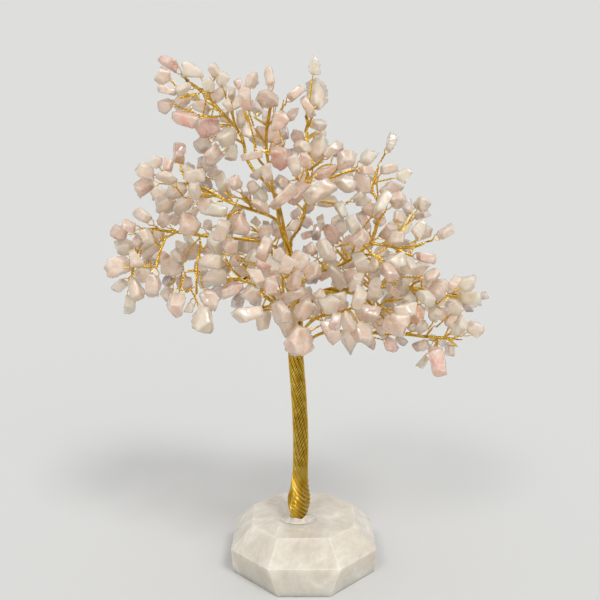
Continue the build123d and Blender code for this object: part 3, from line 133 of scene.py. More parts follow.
# Chips that differ from their neighbours: x and z where the camera sees them, in millimetres, and the tone,
# which the foremost chip within this reach takes.
MARK_REACH = 0.0045
MARKED_CHIPS = [
    (-36, 174, 0.68), (-9.5, 162.5, 0.66), (10, 96, 0.75), (34, 90, 0.72), (-13, 184, 0.88),
    (-8, 147.6, 0.88), (-66, 129, 0.87), (44, 101, 1.0), (-33, 156, 0.0), (-34, 143, 0.0),
    (38.4, 155.8, 0.0), (29, 107, 0.0), (34, 104, 0.0), (-67.8, 106.8, 0.05), (-39.6, 100.2, 0.1),
    (65, 109, 0.0),
]

# About the way that the base's front facet faces, and an angle that only different facets meet at.
FRONT_FACET = (0.0, -0.7, 0.7)
FACET_ANGLE = math.radians(15)
GLUE_SEED = 3
# The glue's points round the trunk and out from it, and its reach to a side and to the front as shares of
# its solid's width and depth.
GLUE_COLUMNS = 64
GLUE_ROWS = 14
GLUE_REACH_SHARES = (0.4, 0.42)
# How far the glue's edge and its thickness wander, and the waves round the trunk in which they do.
EDGE_WANDER = 0.04
EDGE_WAVES = range(2, 8)
LUMPINESS = 0.12
LUMP_WAVES = range(1, 6)
# How far, in radians, the lumps run round the trunk on their way out.
LUMP_SLANT = 4
# The smear's thickness, and the height and length of the skirt that climbs the wires.
SMEAR_DEPTH = 0.00035
SKIRT_HEIGHT = 0.0014
SKIRT_LENGTH = 0.00075
# The skirt is higher by this share on one side of the trunk, this many radians in front of the x axis.
SKIRT_LEAN = 0.25
SKIRT_TURN = 0.6
# The glue's underside lies this far off the stone, and dips steeply into the hole beside the wires.
UNDERSIDE_GAP = 0.00002
UNDERSIDE_DIP = 0.0008
DIP_POWER = 8

CAMERA_PLACE = (-0.0015, -0.2736, 0.1505)
# Lens and sensor width in millimetres, and how far down the camera looks, in degrees.
CAMERA_LENS = 42.6
SENSOR_WIDTH = 36.0
CAMERA_DIP = 8.8
FLOOR_REACH = 3.0
# Where each lamp shines from, and the settings that hold its strength and its size in the sky.
LAMPS = [
    ("key_sun", (-0.4, -0.75, 0.9), "key_strength", "lamp_size"),
    ("fill_sun", (0.5, -0.9, 0.5), "fill_strength", "fill_size"),
    ("glint_sun", (0.4, -0.65, 1.0), "glint_strength", "lamp_size"),
]


# Reading the frame's meshes

def merged_mesh(node):
    """Corner points and triangles of a CAD node, with corners that share a place made one point."""
    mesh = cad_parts[node].data
    points = np.empty(len(mesh.vertices) * 3)
    mesh.vertices.foreach_get("co", points)
    points = points.reshape(-1, 3)
    corners = np.empty(len(mesh.loops), dtype=np.int64)
    mesh.loops.foreach_get("vertex_index", corners)
    keys = np.round(points / MERGE_STEP).astype(np.int64)
    _, first, place = np.unique(keys, axis=0, return_index=True, return_inverse=True)
    triangles = place.ravel()[corners].reshape(-1, 3)
    return points[first], triangles


def joined_labels(count, groups):
    """One label for all points that the groups join.

    Each point takes the lowest label in its groups, until none changes.
    """
    labels = np.arange(count)
    while True:
        joined = labels.copy()
        np.minimum.at(joined, groups.ravel(), np.repeat(labels[groups].min(axis=1), groups.shape[1]))
        joined = joined[joined]
        if np.array_equal(joined, labels):
            return labels
        labels = joined


def separate_solids(points, triangles):
    """The closed solids of a merged mesh, each with its own points and triangles."""
    owner = joined_labels(len(points), triangles)[triangles[:, 0]]
    solids = []
    for label in np.unique(owner):
        used, renumbered = np.unique(triangles[owner == label], return_inverse=True)
        solids.append((points[used], renumbered.reshape(-1, 3)))
    return solids


def face_planes(points, triangles):
    """Unit normal, distance from the origin and area of each triangle."""
    corner = points[triangles]
    cross = np.cross(corner[:, 1] - corner[:, 0], corner[:, 2] - corner[:, 0])
    length = np.linalg.norm(cross, axis=1)
    kept = length > NO_AREA
    normals = np.zeros_like(cross)
    normals[kept] = cross[kept] / length[kept, None]
    return normals, np.einsum("ij,ij->i", normals, corner[:, 0]), length / 2


def first_rim(points, triangles):
    """Point numbers of one flat end's rim: points joined by edges where two faces meet at a sharp angle."""
    normals, _, _ = face_planes(points, triangles)
    sides = [triangles[:, [start, end]] for start, end in ((0, 1), (1, 2), (2, 0))]
    edges = np.sort(np.concatenate(sides), axis=1)
    owner = np.tile(np.arange(len(triangles)), 3)
    order = np.lexsort((edges[:, 1], edges[:, 0]))
    one = owner[order[::2]]
    other = owner[order[1::2]]
    sharp = np.einsum("ij,ij->i", normals[one], normals[other]) < RIM_COSINE
    rims = edges[order[::2]][sharp]
    labels = joined_labels(len(points), rims)
    return np.flatnonzero(labels == labels[rims[0, 0]])


def wire_route(points, triangles):
    """Middle points and directions of a wire solid's rings, in order from one flat end to the other.

    A ring is every point that is the same number of edges away from the first end.
    """
    level = np.full(len(points), -1)
    level[first_rim(points, triangles)] = 0
    step = 0
    while (level < 0).any():
        near = (level[triangles] == step).any(axis=1)
        reached = np.unique(triangles[near])
        reached = reached[level[reached] < 0]
        if not len(reached):
            break
        step += 1
        level[reached] = step
    middles = []
    directions = []
    for ring in range(step + 1):
        around = points[level == ring]
        middle = around.mean(axis=0)
        middles.append(middle)
        directions.append(np.linalg.svd(around - middle)[2][2])
    middles = np.array(middles)
    directions = np.array(directions)
    ahead = np.gradient(middles, axis=0)
    directions *= np.sign(np.einsum("ij,ij->i", directions, ahead))[:, None]
    return middles, directions


# Surfaces worked out with numpy

class Surfaces:
    """Points and faces of one piece, gathered surface by surface."""

    def __init__(self):
        self.points = []
        self.faces = []
        self.tones = []
        self.painted_highlights = []
        self.count = 0

    def add(self, points, faces, tone=0.0, rub=0.0):
        """Adds one surface: its points, its faces as arrays of point numbers, and its tone and painted
        highlight.

        Tone and painted highlight are one number for the whole surface, or one for each point.
        """
        self.points.append(points)
        self.faces.extend(group + self.count for group in faces)
        self.tones.append(np.broadcast_to(tone, len(points)))
        self.painted_highlights.append(np.broadcast_to(rub, len(points)))
        self.count += len(points)

    def mesh(self, name):
        """A Blender mesh of the gathered surfaces, shaded smooth, with tone and painted highlight as its
        attributes.
        """
        mesh = bpy.data.meshes.new(name)
        loops = np.concatenate([group.ravel() for group in self.faces])
        sizes = np.concatenate([np.full(len(group), group.shape[1]) for group in self.faces])
        mesh.vertices.add(self.count)
        mesh.vertices.foreach_set("co", np.concatenate(self.points).ravel())
        mesh.loops.add(len(loops))
        mesh.loops.foreach_set("vertex_index", loops.astype(np.int32))
        mesh.polygons.add(len(sizes))
        starts = np.concatenate([[0], np.cumsum(sizes)[:-1]])
        mesh.polygons.foreach_set("loop_start", starts.astype(np.int32))
        mesh.polygons.foreach_set("use_smooth", np.ones(len(sizes), dtype=bool))
        for label, values in (("tone", self.tones), ("rub", self.painted_highlights)):
            attribute = mesh.attributes.new(label, "FLOAT", "POINT")
            attribute.data.foreach_set("value", np.concatenate(values))
        mesh.update(calc_edges=True)
        mesh.validate()
        return mesh


def tube_faces(stations):
    """Faces of a closed tube whose points are numbered station by station and round each ring."""
    number = np.arange(stations * WIRE_SIDES).reshape(stations, WIRE_SIDES)
    beside = np.roll(number, -1, axis=1)
    walls = np.stack([number[:-1], beside[:-1], beside[1:], number[1:]], axis=-1)
    return [walls.reshape(-1, 4), number[:1, ::-1], number[-1:]]


def even_stations(middles, directions, spacing):
    """Points at even steps along a route: a cubic from ring to ring that leaves each ring square to it."""
    steps = np.linalg.norm(np.diff(middles, axis=0), axis=1)
    kept = np.concatenate([[True], steps > SHORTEST_STEP])
    middles = middles[kept]
    directions = directions[kept]
    steps = np.linalg.norm(np.diff(middles, axis=0), axis=1)
    places = np.concatenate([[0], np.cumsum(steps)])
    wanted = np.linspace(0, places[-1], max(2, math.ceil(places[-1] / spacing)) + 1)
    span = np.clip(np.searchsorted(places, wanted, side="right") - 1, 0, len(steps) - 1)
    share = ((wanted - places[span]) / steps[span])[:, None]
    reach = steps[span][:, None]
    from_start = 2 * share**3 - 3 * share**2 + 1
    leaving = share**3 - 2 * share**2 + share
    arriving = share**3 - share**2
    return (
        from_start * middles[span] + leaving * reach * directions[span]
        + (1 - from_start) * middles[span + 1] + arriving * reach * directions[span + 1]
    )


def unit_rows(rows):
    """Each row divided by its own length."""
    return rows / np.linalg.norm(rows, axis=-1, keepdims=True)


def side_directions(points):
    """Directions beside and above a route at each point, and how far they turn about it on the way.

    Beside is square to the route and to the compass direction that the route follows least.
    """
    along = unit_rows(np.gradient(points, axis=0))
    grid = np.array(np.meshgrid([-1, 0, 1], [-1, 0, 1], [0, 1])).reshape(3, -1).T
    compass = unit_rows(grid[np.abs(grid).sum(axis=1) > 0].astype(float))
    least = compass[np.abs(along @ compass.T).max(axis=0).argmin()]
    beside = unit_rows(np.cross(along, least))
    above = np.cross(along, beside)
    change = np.einsum("ij,ij->i", np.diff(beside, axis=0), (above[1:] + above[:-1]) / 2)
    return beside, above, np.concatenate([[0], np.cumsum(change)])


def twisted_wires(points, count, wound_radius, wire_radius, pitch, end_step=0.0, laid=None):
    """Surfaces of wires twisted together along a route.

    A wire's middle goes round the route at the wound radius, one left-hand turn in each pitch, and its
    surface is a circle of the wire's radius carried along that middle, square to it. At the far end each
    wire stops one step short of the one before, and they close in on the route as they run out.

    Laid, if given, is for each point a direction, whether the wires keep to it instead of turning about the
    route, and how far they lie level and spread beside it. Each point's tone is 1 on the outer side of its
    wire and -1 on the side turned to the route, and the wire's material paints shade in the grooves from it.
    """
    beside, above, turned = side_directions(points)
    places = np.concatenate([[0], np.cumsum(np.linalg.norm(np.diff(points, axis=0), axis=1))])
    steps = -TURN * np.diff(places) / pitch - np.diff(turned)
    first = 0.0
    spread = np.zeros(len(points))
    if laid is not None:
        towards, held, spread = laid
        level_part, upright_part = (np.einsum("ij,ij->i", towards, side) for side in (beside, above))
        heading = np.unwrap(np.arctan2(upright_part, level_part))
        steps = np.where(held[:-1], np.diff(heading), steps)
        first = heading[0]
    route_turn = first + np.concatenate([[0], np.cumsum(steps)])
    end_step = min(end_step, places[-1] / (2 * count))
    closing = np.ones(len(points))
    if end_step:
        closing = np.clip((places[-1] - places + end_step) / (count * end_step), CLOSED_SHARE, 1)
    facing = np.cos(route_turn)[:, None] * beside + np.sin(route_turn)[:, None] * above
    sideways = np.cos(route_turn)[:, None] * above - np.sin(route_turn)[:, None] * beside
    around = TURN * np.arange(WIRE_SIDES) / WIRE_SIDES
    for wire in range(count):
        turn = TURN * wire / count
        level = np.sign(np.cos(turn)) * np.abs(np.cos(turn)) ** (1 - LEVELLING * spread)
        wide = np.sin(turn) * (1 + SPREADING * spread)
        outward = level[:, None] * facing + wide[:, None] * sideways
        middle = points + wound_radius * closing[:, None] * outward
        along = unit_rows(np.gradient(middle, axis=0))
        one = unit_rows(outward - along * np.einsum("ij,ij->i", outward, along)[:, None])
        other = np.cross(along, one)
        rings = middle[:, None] + wire_radius * (
            np.cos(around)[:, None] * one[:, None] + np.sin(around)[:, None] * other[:, None]
        )
        length = np.searchsorted(places, places[-1] - wire * end_step + MERGE_STEP)
        yield rings[:length].reshape(-1, 3), tube_faces(length), np.tile(np.cos(around), length)


def outer_planes(points, triangles):
    """Planes of a chip's outer faces, which have the whole chip behind them, and those faces' middle."""
    normals, offsets, areas = face_planes(points, triangles)
    ahead = (points @ normals.T).max(axis=0) - offsets
    outer = np.flatnonzero((ahead < PLANE_SLACK) & (areas > LEAST_FACET))
    middle = np.average(points[triangles[outer]].mean(axis=1), axis=0, weights=areas[outer])
    planes = []
    for number in outer[np.argsort(-areas[outer])]:
        if all(normals[number] @ other < SAME_FACET for other, _ in planes):
            planes.append((normals[number], offsets[number] - normals[number] @ middle))
    return np.array([row for row, _ in planes]), np.array([gap for _, gap in planes]), middle


def stone_surface(points, triangles, roundness, rows, columns, draws):
    """A tumbled chip, its middle and each point's share of the painted edge highlight.

    In each direction from the middle, the surface is as far off as a soft minimum of the distances to the
    chip's planes. The directions are a grid of latitude and longitude, stretched as the chip is, with its
    poles on the broad faces. A few waves over the directions, drawn for each chip, wear shallow hollows into
    its faces. The painted highlight says how near two planes come to being equally far, from 0 on a face to
    1 on an edge, where the stone is painted whiter as a highlight.
    """
    normals, gaps, middle = outer_planes(points, triangles)
    spread, axes = np.linalg.eigh(np.cov((points - middle).T))
    frame_axes = axes * np.sqrt(spread / spread[2])
    if np.linalg.det(frame_axes) < 0:
        frame_axes[:, 2] *= -1
    tilt = math.pi * np.arange(1, rows) / rows
    turn = TURN * np.arange(columns) / columns
    grid = np.stack([
        np.broadcast_to(np.cos(tilt)[:, None], (rows - 1, columns)),
        np.sin(tilt)[:, None] * np.cos(turn),
        np.sin(tilt)[:, None] * np.sin(turn),
    ], axis=-1).reshape(-1, 3)
    grid = np.vstack([grid, [[1, 0, 0], [-1, 0, 0]]])
    directions = unit_rows(grid @ frame_axes.T)
    nearness = np.maximum(directions @ normals.T, 0) / gaps
    distance = (nearness**roundness).sum(axis=1) ** (-1 / roundness)
    nearest = np.sort(nearness, axis=1)[:, -2:]
    rub = np.clip((nearest[:, 0] / nearest[:, 1] - HIGHLIGHT_FROM) / (1 - HIGHLIGHT_FROM), 0, 1)
    for spread, depth in (WIDE_WEAR, FINE_WEAR):
        waves = draws.normal(0, spread, (WEAR_WAVES, 3))
        worn = np.sin(directions @ waves.T + draws.uniform(0, TURN, WEAR_WAVES)).mean(axis=1)
        distance *= 1 - depth * np.maximum(worn, 0)
    number = np.arange((rows - 1) * columns).reshape(rows - 1, columns)
    beside = np.roll(number, -1, axis=1)
    walls = np.stack([number[:-1], number[1:], beside[1:], beside[:-1]], axis=-1).reshape(-1, 4)
    top = np.stack([np.full(columns, number.size), number[0], beside[0]], axis=-1)
    foot = np.stack([np.full(columns, number.size + 1), beside[-1], number[-1]], axis=-1)
    return middle + distance[:, None] * directions, [walls, top, foot], rub, middle


# Materials

def linear(code):
    """Linear colour and full alpha for an sRGB hex colour: a straight line near black, a power above."""
    shares = [int(code[place:place + 2], 16) / 255 for place in (1, 3, 5)]
    return tuple(c / 12.92 if c <= 0.04045 else ((c + 0.055) / 1.055) ** 2.4 for c in shares) + (1.0,)


def add_node(tree, kind, inputs=None, stops=(), **properties):
    """Adds a node and sets its properties, its inputs and the stops of a colour ramp.

    Each input goes by its name or number, and takes a plain value or another node's output. Each stop is a
    place and a hex colour.
    """
    node = tree.nodes.new(kind)
    for name, value in properties.items():
        setattr(node, name, value)
    for socket, value in (inputs or {}).items():
        if isinstance(value, bpy.types.NodeSocket):
            tree.links.new(value, node.inputs[socket])
        else:
            node.inputs[socket].default_value = value
    if stops:
        elements = node.color_ramp.elements
        while len(elements) < len(stops):
            elements.new(0.5)
        for element, (place, code) in zip(elements, stops):
            element.position = place
            element.color = linear(code)
    return node


def new_material(name):
    """An empty node material and the node tree that it keeps."""
    material = bpy.data.materials.new(name)
    material.use_nodes = True
    material.node_tree.nodes.clear()
    return material, material.node_tree


def gold_wire_material():
    """Gold-plated copper wire, drawn and twisted by hand.

    It gives the eye bright, deep yellow metal with painted shade in its grooves and small dull places worn
    by hands.
    """
    material, tree = new_material("gold_plated_wire")
    place = add_node(tree, "ShaderNodeTexCoord").outputs["Object"]
    # Plating varies over 2 to 3 mm: it is deep in colour where it is thick, and paler where it is thin.
    patches = add_node(
        tree, "ShaderNodeTexNoise", {"Vector": place, "Scale": 380.0, "Detail": 3.0},
    ).outputs["Fac"]
    clean = add_node(
        tree, "ShaderNodeValToRGB", {"Fac": patches},
        [(0.3, "#DBAA32"), (0.5, "#F0C74C"), (0.72, "#FFE27C")],
    ).outputs["Color"]
    # Painted shade: the grooves between the wires, away from each wire's outer side, are painted a dark
    # brown.
    outer_side = add_node(tree, "ShaderNodeAttribute", attribute_name="tone").outputs["Fac"]
    groove_shade = add_node(
        tree, "ShaderNodeMapRange", {"Value": outer_side, "From Min": 0.9, "From Max": -0.1},
    ).outputs["Result"]
    colour = add_node(
        tree, "ShaderNodeMix", {"Factor": groove_shade, "A": clean, "B": linear("#7C560E")}, data_type="RGBA",
    ).outputs["Result"]
    dulled = add_node(
        tree, "ShaderNodeMapRange",
        {"Value": patches, "From Min": 0.3, "From Max": 0.7, "To Min": 0.12, "To Max": 0.25},
    ).outputs["Result"]
    # Drawing and bending leave marks a tenth of a millimetre apart; they are drawn at 0.4 mm to show.
    marks = add_node(
        tree, "ShaderNodeTexNoise", {"Vector": place, "Scale": 2500.0, "Detail": 2.0},
    ).outputs["Fac"]
    bump = add_node(
        tree, "ShaderNodeBump", {"Height": marks, "Strength": 0.25, "Distance": 0.00005},
    ).outputs["Normal"]
    shader = add_node(
        tree, "ShaderNodeBsdfPrincipled",
        {"Base Color": colour, "Roughness": dulled, "Normal": bump, "Metallic": 1.0},
    )
    add_node(tree, "ShaderNodeOutputMaterial", {"Surface": shader.outputs["BSDF"]})
    return material


def rose_quartz_material():
    """Tumbled rose quartz: a cloudy, glassy stone.

    It gives the eye milky white to pink, from chip to chip, with veils and healed cracks inside and a soft
    gloss outside.
    """
    material, tree = new_material("tumbled_rose_quartz")
    place = add_node(tree, "ShaderNodeTexCoord").outputs["Object"]
    tone = add_node(tree, "ShaderNodeAttribute", attribute_name="tone").outputs["Fac"]
    # Each chip's own colour, from milky white through pink to greyish and tan pieces.
    own = add_node(tree, "ShaderNodeValToRGB", {"Fac": tone}, [
        (0.0, "#FFEEDD"), (0.25, "#FCDECB"), (0.5, "#F8CDBB"), (0.68, "#F0B8A7"), (0.8, "#D6C3BF"),
        (0.9, "#E8C3A6"), (1.0, "#E4AE84"),
    ]).outputs["Color"]
    # Clouds about 3 mm across, as the milky parts of the stone are.
    clouds = add_node(
        tree, "ShaderNodeTexNoise",
        {"Vector": place, "Scale": 330.0, "Detail": 6.0, "Roughness": 0.72, "Distortion": 0.6},
    ).outputs["Fac"]
    milk = add_node(
        tree, "ShaderNodeMapRange", {"Value": clouds, "From Min": 0.42, "From Max": 0.64, "To Max": 0.8},
    ).outputs["Result"]
    cloudy = add_node(
        tree, "ShaderNodeMix", {"Factor": milk, "A": own, "B": linear("#FFF3E5")}, data_type="RGBA",
    ).outputs["Result"]
    # Healed cracks wind through it as thin pale lines, where a noise over 4 mm passes its middle value.
    winding = add_node(
        tree, "ShaderNodeTexNoise", {"Vector": place, "Scale": 230.0, "Detail": 3.0, "Distortion": 1.6},
    ).outputs["Fac"]
    signed = add_node(tree, "ShaderNodeMath", {0: winding, 1: 0.5}, operation="SUBTRACT").outputs["Value"]
    off_middle = add_node(tree, "ShaderNodeMath", {0: signed}, operation="ABSOLUTE").outputs["Value"]
    crack = add_node(
        tree, "ShaderNodeMapRange",
        {"Value": off_middle, "From Min": 0.0, "From Max": 0.022, "To Min": 0.65, "To Max": 0.0},
    ).outputs["Result"]
    cracked = add_node(
        tree, "ShaderNodeMix", {"Factor": crack, "A": cloudy, "B": linear("#FFFAF2")}, data_type="RGBA",
    ).outputs["Result"]
    # Painted highlight: the rubbed, thin edges are painted whiter than the faces, for the light that gathers
    # in them.
    rub = add_node(tree, "ShaderNodeAttribute", attribute_name="rub").outputs["Fac"]
    edge = add_node(
        tree, "ShaderNodeMapRange", {"Value": rub, "From Min": 0.2, "To Max": 0.75},
    ).outputs["Result"]
    highlighted = add_node(
        tree, "ShaderNodeMix", {"Factor": edge, "A": cracked, "B": linear("#FFFAF2")}, data_type="RGBA",
    ).outputs["Result"]
    # Tumbling leaves dimples about a millimetre across and a skin that is not quite smooth.
    dimples = add_node(
        tree, "ShaderNodeTexNoise", {"Vector": place, "Scale": 900.0, "Detail": 2.0},
    ).outputs["Fac"]
    bump = add_node(
        tree, "ShaderNodeBump", {"Height": dimples, "Strength": 0.32, "Distance": 0.0003},
    ).outputs["Normal"]
    polish = add_node(
        tree, "ShaderNodeMapRange",
        {"Value": clouds, "From Min": 0.3, "From Max": 0.7, "To Min": 0.04, "To Max": 0.14},
    ).outputs["Result"]
    shader = add_node(tree, "ShaderNodeBsdfPrincipled", {
        "Base Color": highlighted, "Normal": bump, "Roughness": polish, "IOR": 1.54,
        "Subsurface Weight": 0.8, "Subsurface Radius": (1.0, 0.76, 0.64), "Subsurface Scale": 0.0022,
        "Transmission Weight": 0.55, "Coat Weight": 0.5, "Coat Roughness": 0.03,
    })
    add_node(tree, "ShaderNodeOutputMaterial", {"Surface": shader.outputs["BSDF"]})
    return material


def base_quartz_material(name, stops, front_highlight_stops=()):
    """Cloudy quartz, sawn, faceted and polished.

    It gives the eye milky, faintly warm stone with veils and frost inside. The front highlight stops, if
    given, colour the places whose painted highlight is full, those of the front facet, a whiter painted
    highlight.
    """
    material, tree = new_material(name)
    place = add_node(tree, "ShaderNodeTexCoord").outputs["Object"]
    # Veils about 12 mm across, pulled out along one slant as healed cracks are.
    slanted = add_node(
        tree, "ShaderNodeMapping", {"Vector": place, "Rotation": (0.5, 0.7, 0.4), "Scale": (1.0, 1.0, 0.7)},
    ).outputs["Vector"]
    veils = add_node(
        tree, "ShaderNodeTexNoise",
        {"Vector": slanted, "Scale": 85.0, "Detail": 6.0, "Roughness": 0.62, "Distortion": 0.8},
    ).outputs["Fac"]
    # Frosty mottles 2 to 4 mm across lie in the veils.
    frost = add_node(
        tree, "ShaderNodeTexNoise",
        {"Vector": place, "Scale": 320.0, "Detail": 8.0, "Roughness": 0.75, "Distortion": 0.4},
    ).outputs["Fac"]
    blend = add_node(tree, "ShaderNodeMix", {"Factor": 0.35, "A": veils, "B": frost}).outputs["Result"]
    colour = add_node(tree, "ShaderNodeValToRGB", {"Fac": blend}, stops).outputs["Color"]
    if front_highlight_stops:
        # Painted highlight: the front facet's edges take the whiter front stops.
        rub = add_node(tree, "ShaderNodeAttribute", attribute_name="rub").outputs["Fac"]
        front = add_node(tree, "ShaderNodeMapRange", {"Value": rub, "From Min": 0.85}).outputs["Result"]
        front_highlight_colour = add_node(tree, "ShaderNodeValToRGB", {"Fac": blend}, front_highlight_stops).outputs["Color"]
        colour = add_node(
            tree, "ShaderNodeMix", {"Factor": front, "A": colour, "B": front_highlight_colour}, data_type="RGBA",
        ).outputs["Result"]
    # Polishing leaves the faces uneven by a hair's breadth, over a millimetre or two.
    ripples = add_node(
        tree, "ShaderNodeTexNoise", {"Vector": place, "Scale": 700.0, "Detail": 2.0},
    ).outputs["Fac"]
    bump = add_node(
        tree, "ShaderNodeBump", {"Height": ripples, "Strength": 0.08, "Distance": 0.0001},
    ).outputs["Normal"]
    polish = add_node(
        tree, "ShaderNodeMapRange",
        {"Value": veils, "From Min": 0.3, "From Max": 0.7, "To Min": 0.1, "To Max": 0.22},
    ).outputs["Result"]
    shader = add_node(tree, "ShaderNodeBsdfPrincipled", {
        "Base Color": colour, "Normal": bump, "Roughness": polish, "IOR": 1.54,
        "Subsurface Weight": 0.9, "Subsurface Radius": (1.0, 0.9, 0.8), "Subsurface Scale": 0.009,
        "Transmission Weight": 0.1,
    })
    add_node(tree, "ShaderNodeOutputMaterial", {"Surface": shader.outputs["BSDF"]})
    return material


def clear_glue_material():
    """Clear craft glue, run on by hand and set: it gives the eye a whitish, wet-looking smear."""
    material, tree = new_material("set_clear_glue")
    place = add_node(tree, "ShaderNodeTexCoord").outputs["Object"]
    # Small bubbles cloud it in patches under 2 mm across, and leave its skin uneven.
    bubbles = add_node(
        tree, "ShaderNodeTexNoise", {"Vector": place, "Scale": 600.0, "Detail": 3.0},
    ).outputs["Fac"]
    colour = add_node(
        tree, "ShaderNodeValToRGB", {"Fac": bubbles}, [(0.35, "#B5AC9F"), (0.6, "#C9C1B4")],
    ).outputs["Color"]
    bump = add_node(
        tree, "ShaderNodeBump", {"Height": bubbles, "Strength": 0.3, "Distance": 0.0002},
    ).outputs["Normal"]
    shader = add_node(
        tree, "ShaderNodeBsdfPrincipled",
        {"Base Color": colour, "Normal": bump, "IOR": 1.48, "Roughness": 0.12},
    )
    add_node(tree, "ShaderNodeOutputMaterial", {"Surface": shader.outputs["BSDF"]})
    return material


def pale_stage_material(settings):
    """Matt painted board for the floor: it shows soft shadows and no gloss from any side."""
    material, tree = new_material("pale_stage")
    shader = add_node(tree, "ShaderNodeBsdfDiffuse", {"Color": settings.floor_colour})
    add_node(tree, "ShaderNodeOutputMaterial", {"Surface": shader.outputs["BSDF"]})
    return material


# Settings

class WireSettings(bpy.types.PropertyGroup):
    """Sizes of the wires that the boughs, twigs and stems are twisted from."""

    wire_diameter: bpy.props.FloatProperty(
        name="Wire", description="Diameter of one fine wire", default=0.0004,
        subtype="DISTANCE", unit="LENGTH", precision=5,
    )
    pair_pitch: bpy.props.FloatProperty(
        name="Stem twist", description="Length of one turn of a stem's two wires", default=0.0026,
        subtype="DISTANCE", unit="LENGTH", precision=5,
    )
    twig_pitch: bpy.props.FloatProperty(
        name="Twig twist", description="Length of one turn of a twig's wires", default=0.0042,
        subtype="DISTANCE", unit="LENGTH", precision=5,
    )
    strand_pitch: bpy.props.FloatProperty(
        name="Bough twist", description="Length of one turn of a bough's wires", default=0.0075,
        subtype="DISTANCE", unit="LENGTH", precision=5,
    )


class StoneSettings(bpy.types.PropertyGroup):
    """Shape of the tumbled chips."""

    roundness: bpy.props.FloatProperty(
        name="Edge sharpness", description="Higher numbers leave the chips' edges crisper",
        default=64.0, min=4.0,
    )
    grid_rows: bpy.props.IntProperty(
        name="Rows", description="Rows of points over a chip", default=20, min=6,
    )
    grid_columns: bpy.props.IntProperty(
        name="Columns", description="Points in one row of a chip", default=34, min=6,
    )


class BaseSettings(bpy.types.PropertyGroup):
    """Finish of the cut base."""

    edge_width: bpy.props.FloatProperty(
        name="Edge", description="Width of the polished edge between two facets", default=0.0005,
        subtype="DISTANCE", unit="LENGTH", precision=5,
    )


class StageSettings(bpy.types.PropertyGroup):
    """Floor, lamps and sky."""

    floor_colour: bpy.props.FloatVectorProperty(
        name="Floor", description="Colour of the floor", size=4, subtype="COLOR", default=linear("#C5C5C3"),
    )
    key_strength: bpy.props.FloatProperty(
        name="Key light", description="Strength of the light from the front left", default=0.7, min=0.0,
    )
    fill_strength: bpy.props.FloatProperty(
        name="Fill light", description="Strength of the soft light from the front right",
        default=0.5, min=0.0,
    )
    glint_strength: bpy.props.FloatProperty(
        name="Glint light", description="Strength of the light from above that makes wire and stone glint",
        default=1.25, min=0.0,
    )
    lamp_size: bpy.props.FloatProperty(
        name="Lamp size", description="Angle that the key and glint lights fill in the sky",
        default=math.radians(16), subtype="ANGLE",
    )
    fill_size: bpy.props.FloatProperty(
        name="Fill size", description="Angle that the fill light fills in the sky",
        default=math.radians(45), subtype="ANGLE",
    )
    sky_strength: bpy.props.FloatProperty(
        name="Sky", description="Strength of the even light from all round", default=0.76, min=0.0,
    )


# Pieces

def add_piece(name, surfaces, material, node):
    """Makes the gathered surfaces a piece that rides on the tree and stands for one CAD node."""
    mesh = surfaces.mesh(name)
    mesh.materials.append(material)
    piece = bpy.data.objects.new(name, mesh)
    bpy.context.scene.collection.objects.link(piece)
    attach(piece, "root")
    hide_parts(node)
    return piece


def wind_wires(surfaces, route, settings, kind, envelope, trunk=None):
    """Adds the wires of one rope along its route, inside a round envelope of the given diameter.

    Trunk, if given, is the trunk's middle line, and the rope is one of its strands. Painted shade in the
    grooves is deep in the trunk and its boughs, and only slight in a thinner twist.
    """
    count, steps, end_step = ROPES[kind]
    pitch = getattr(settings, kind + "_pitch")
    wire_radius = settings.wire_diameter / 2
    points = even_stations(*route, pitch / steps)
    wound = envelope / 2 - wire_radius
    laid = None if trunk is None else trunk_lay(points, trunk)
    # Painted shade: the grooves' darkening is full in the trunk and its boughs, and a share of it in a
    # thinner twist.
    shade_share = THIN_GROOVE_SHADE if trunk is None else 1
    for rings, faces, tone in twisted_wires(points, count, wound, wire_radius, pitch, end_step, laid):
        surfaces.add(rings, faces, 1 - shade_share * (1 - tone))


def trunk_line(routes):
    """Heights up the trunk and its middle at each: the mean of all the strands there."""
    heights = np.arange(max(middles[0, 2] for middles, _ in routes), TRUNK_TOP, TRUNK_STEP)
    rows = []
    for middles, _ in routes:
        climb = middles[:np.argmax(middles[:, 2] > TRUNK_TOP) + 1]
        rows.append([np.interp(heights, climb[:, 2], climb[:, axis]) for axis in (0, 1)])
    return heights, np.mean(rows, axis=0)


def trunk_lay(points, trunk):
    """How a strand's wires lie at each of its points.

    That is the direction away from the trunk's middle, whether the point is in the trunk, and how level the
    wires lie: level but at the foot, where the lay is tight and the strands stand apart.
    """
    heights, middles = trunk
    away = points.copy()
    away[:, 0] -= np.interp(points[:, 2], heights, middles[0])
    away[:, 1] -= np.interp(points[:, 2], heights, middles[1])
    away[:, 2] = 0
    below_top = np.clip((TRUNK_TOP - points[:, 2]) / LEVELLED_LENGTH, 0, 1)
    above_foot = np.clip((points[:, 2] - FOOT_TOP) / LEVELLED_LENGTH, 0, 1)
    share = np.minimum.accumulate(below_top)
    return away, share > 0, share * above_foot


def frame_foot():
    """Middle of the glue collar's box, where all the wires come together."""
    low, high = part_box("glue_collar")
    return (np.array(low) + np.array(high)) / 2


def outward_route(route):
    """The route from its inner end, nearer the trunk's foot, to its free end."""
    middles, directions = route
    foot = frame_foot()
    if np.linalg.norm(middles[0] - foot) > np.linalg.norm(middles[-1] - foot):
        return middles[::-1], -directions[::-1]
    return route


def rope_radius(points, route):
    """Radius of a wire solid: how near its points come to the middle of its first ring."""
    return np.linalg.norm(points - route[0][0], axis=1).min()


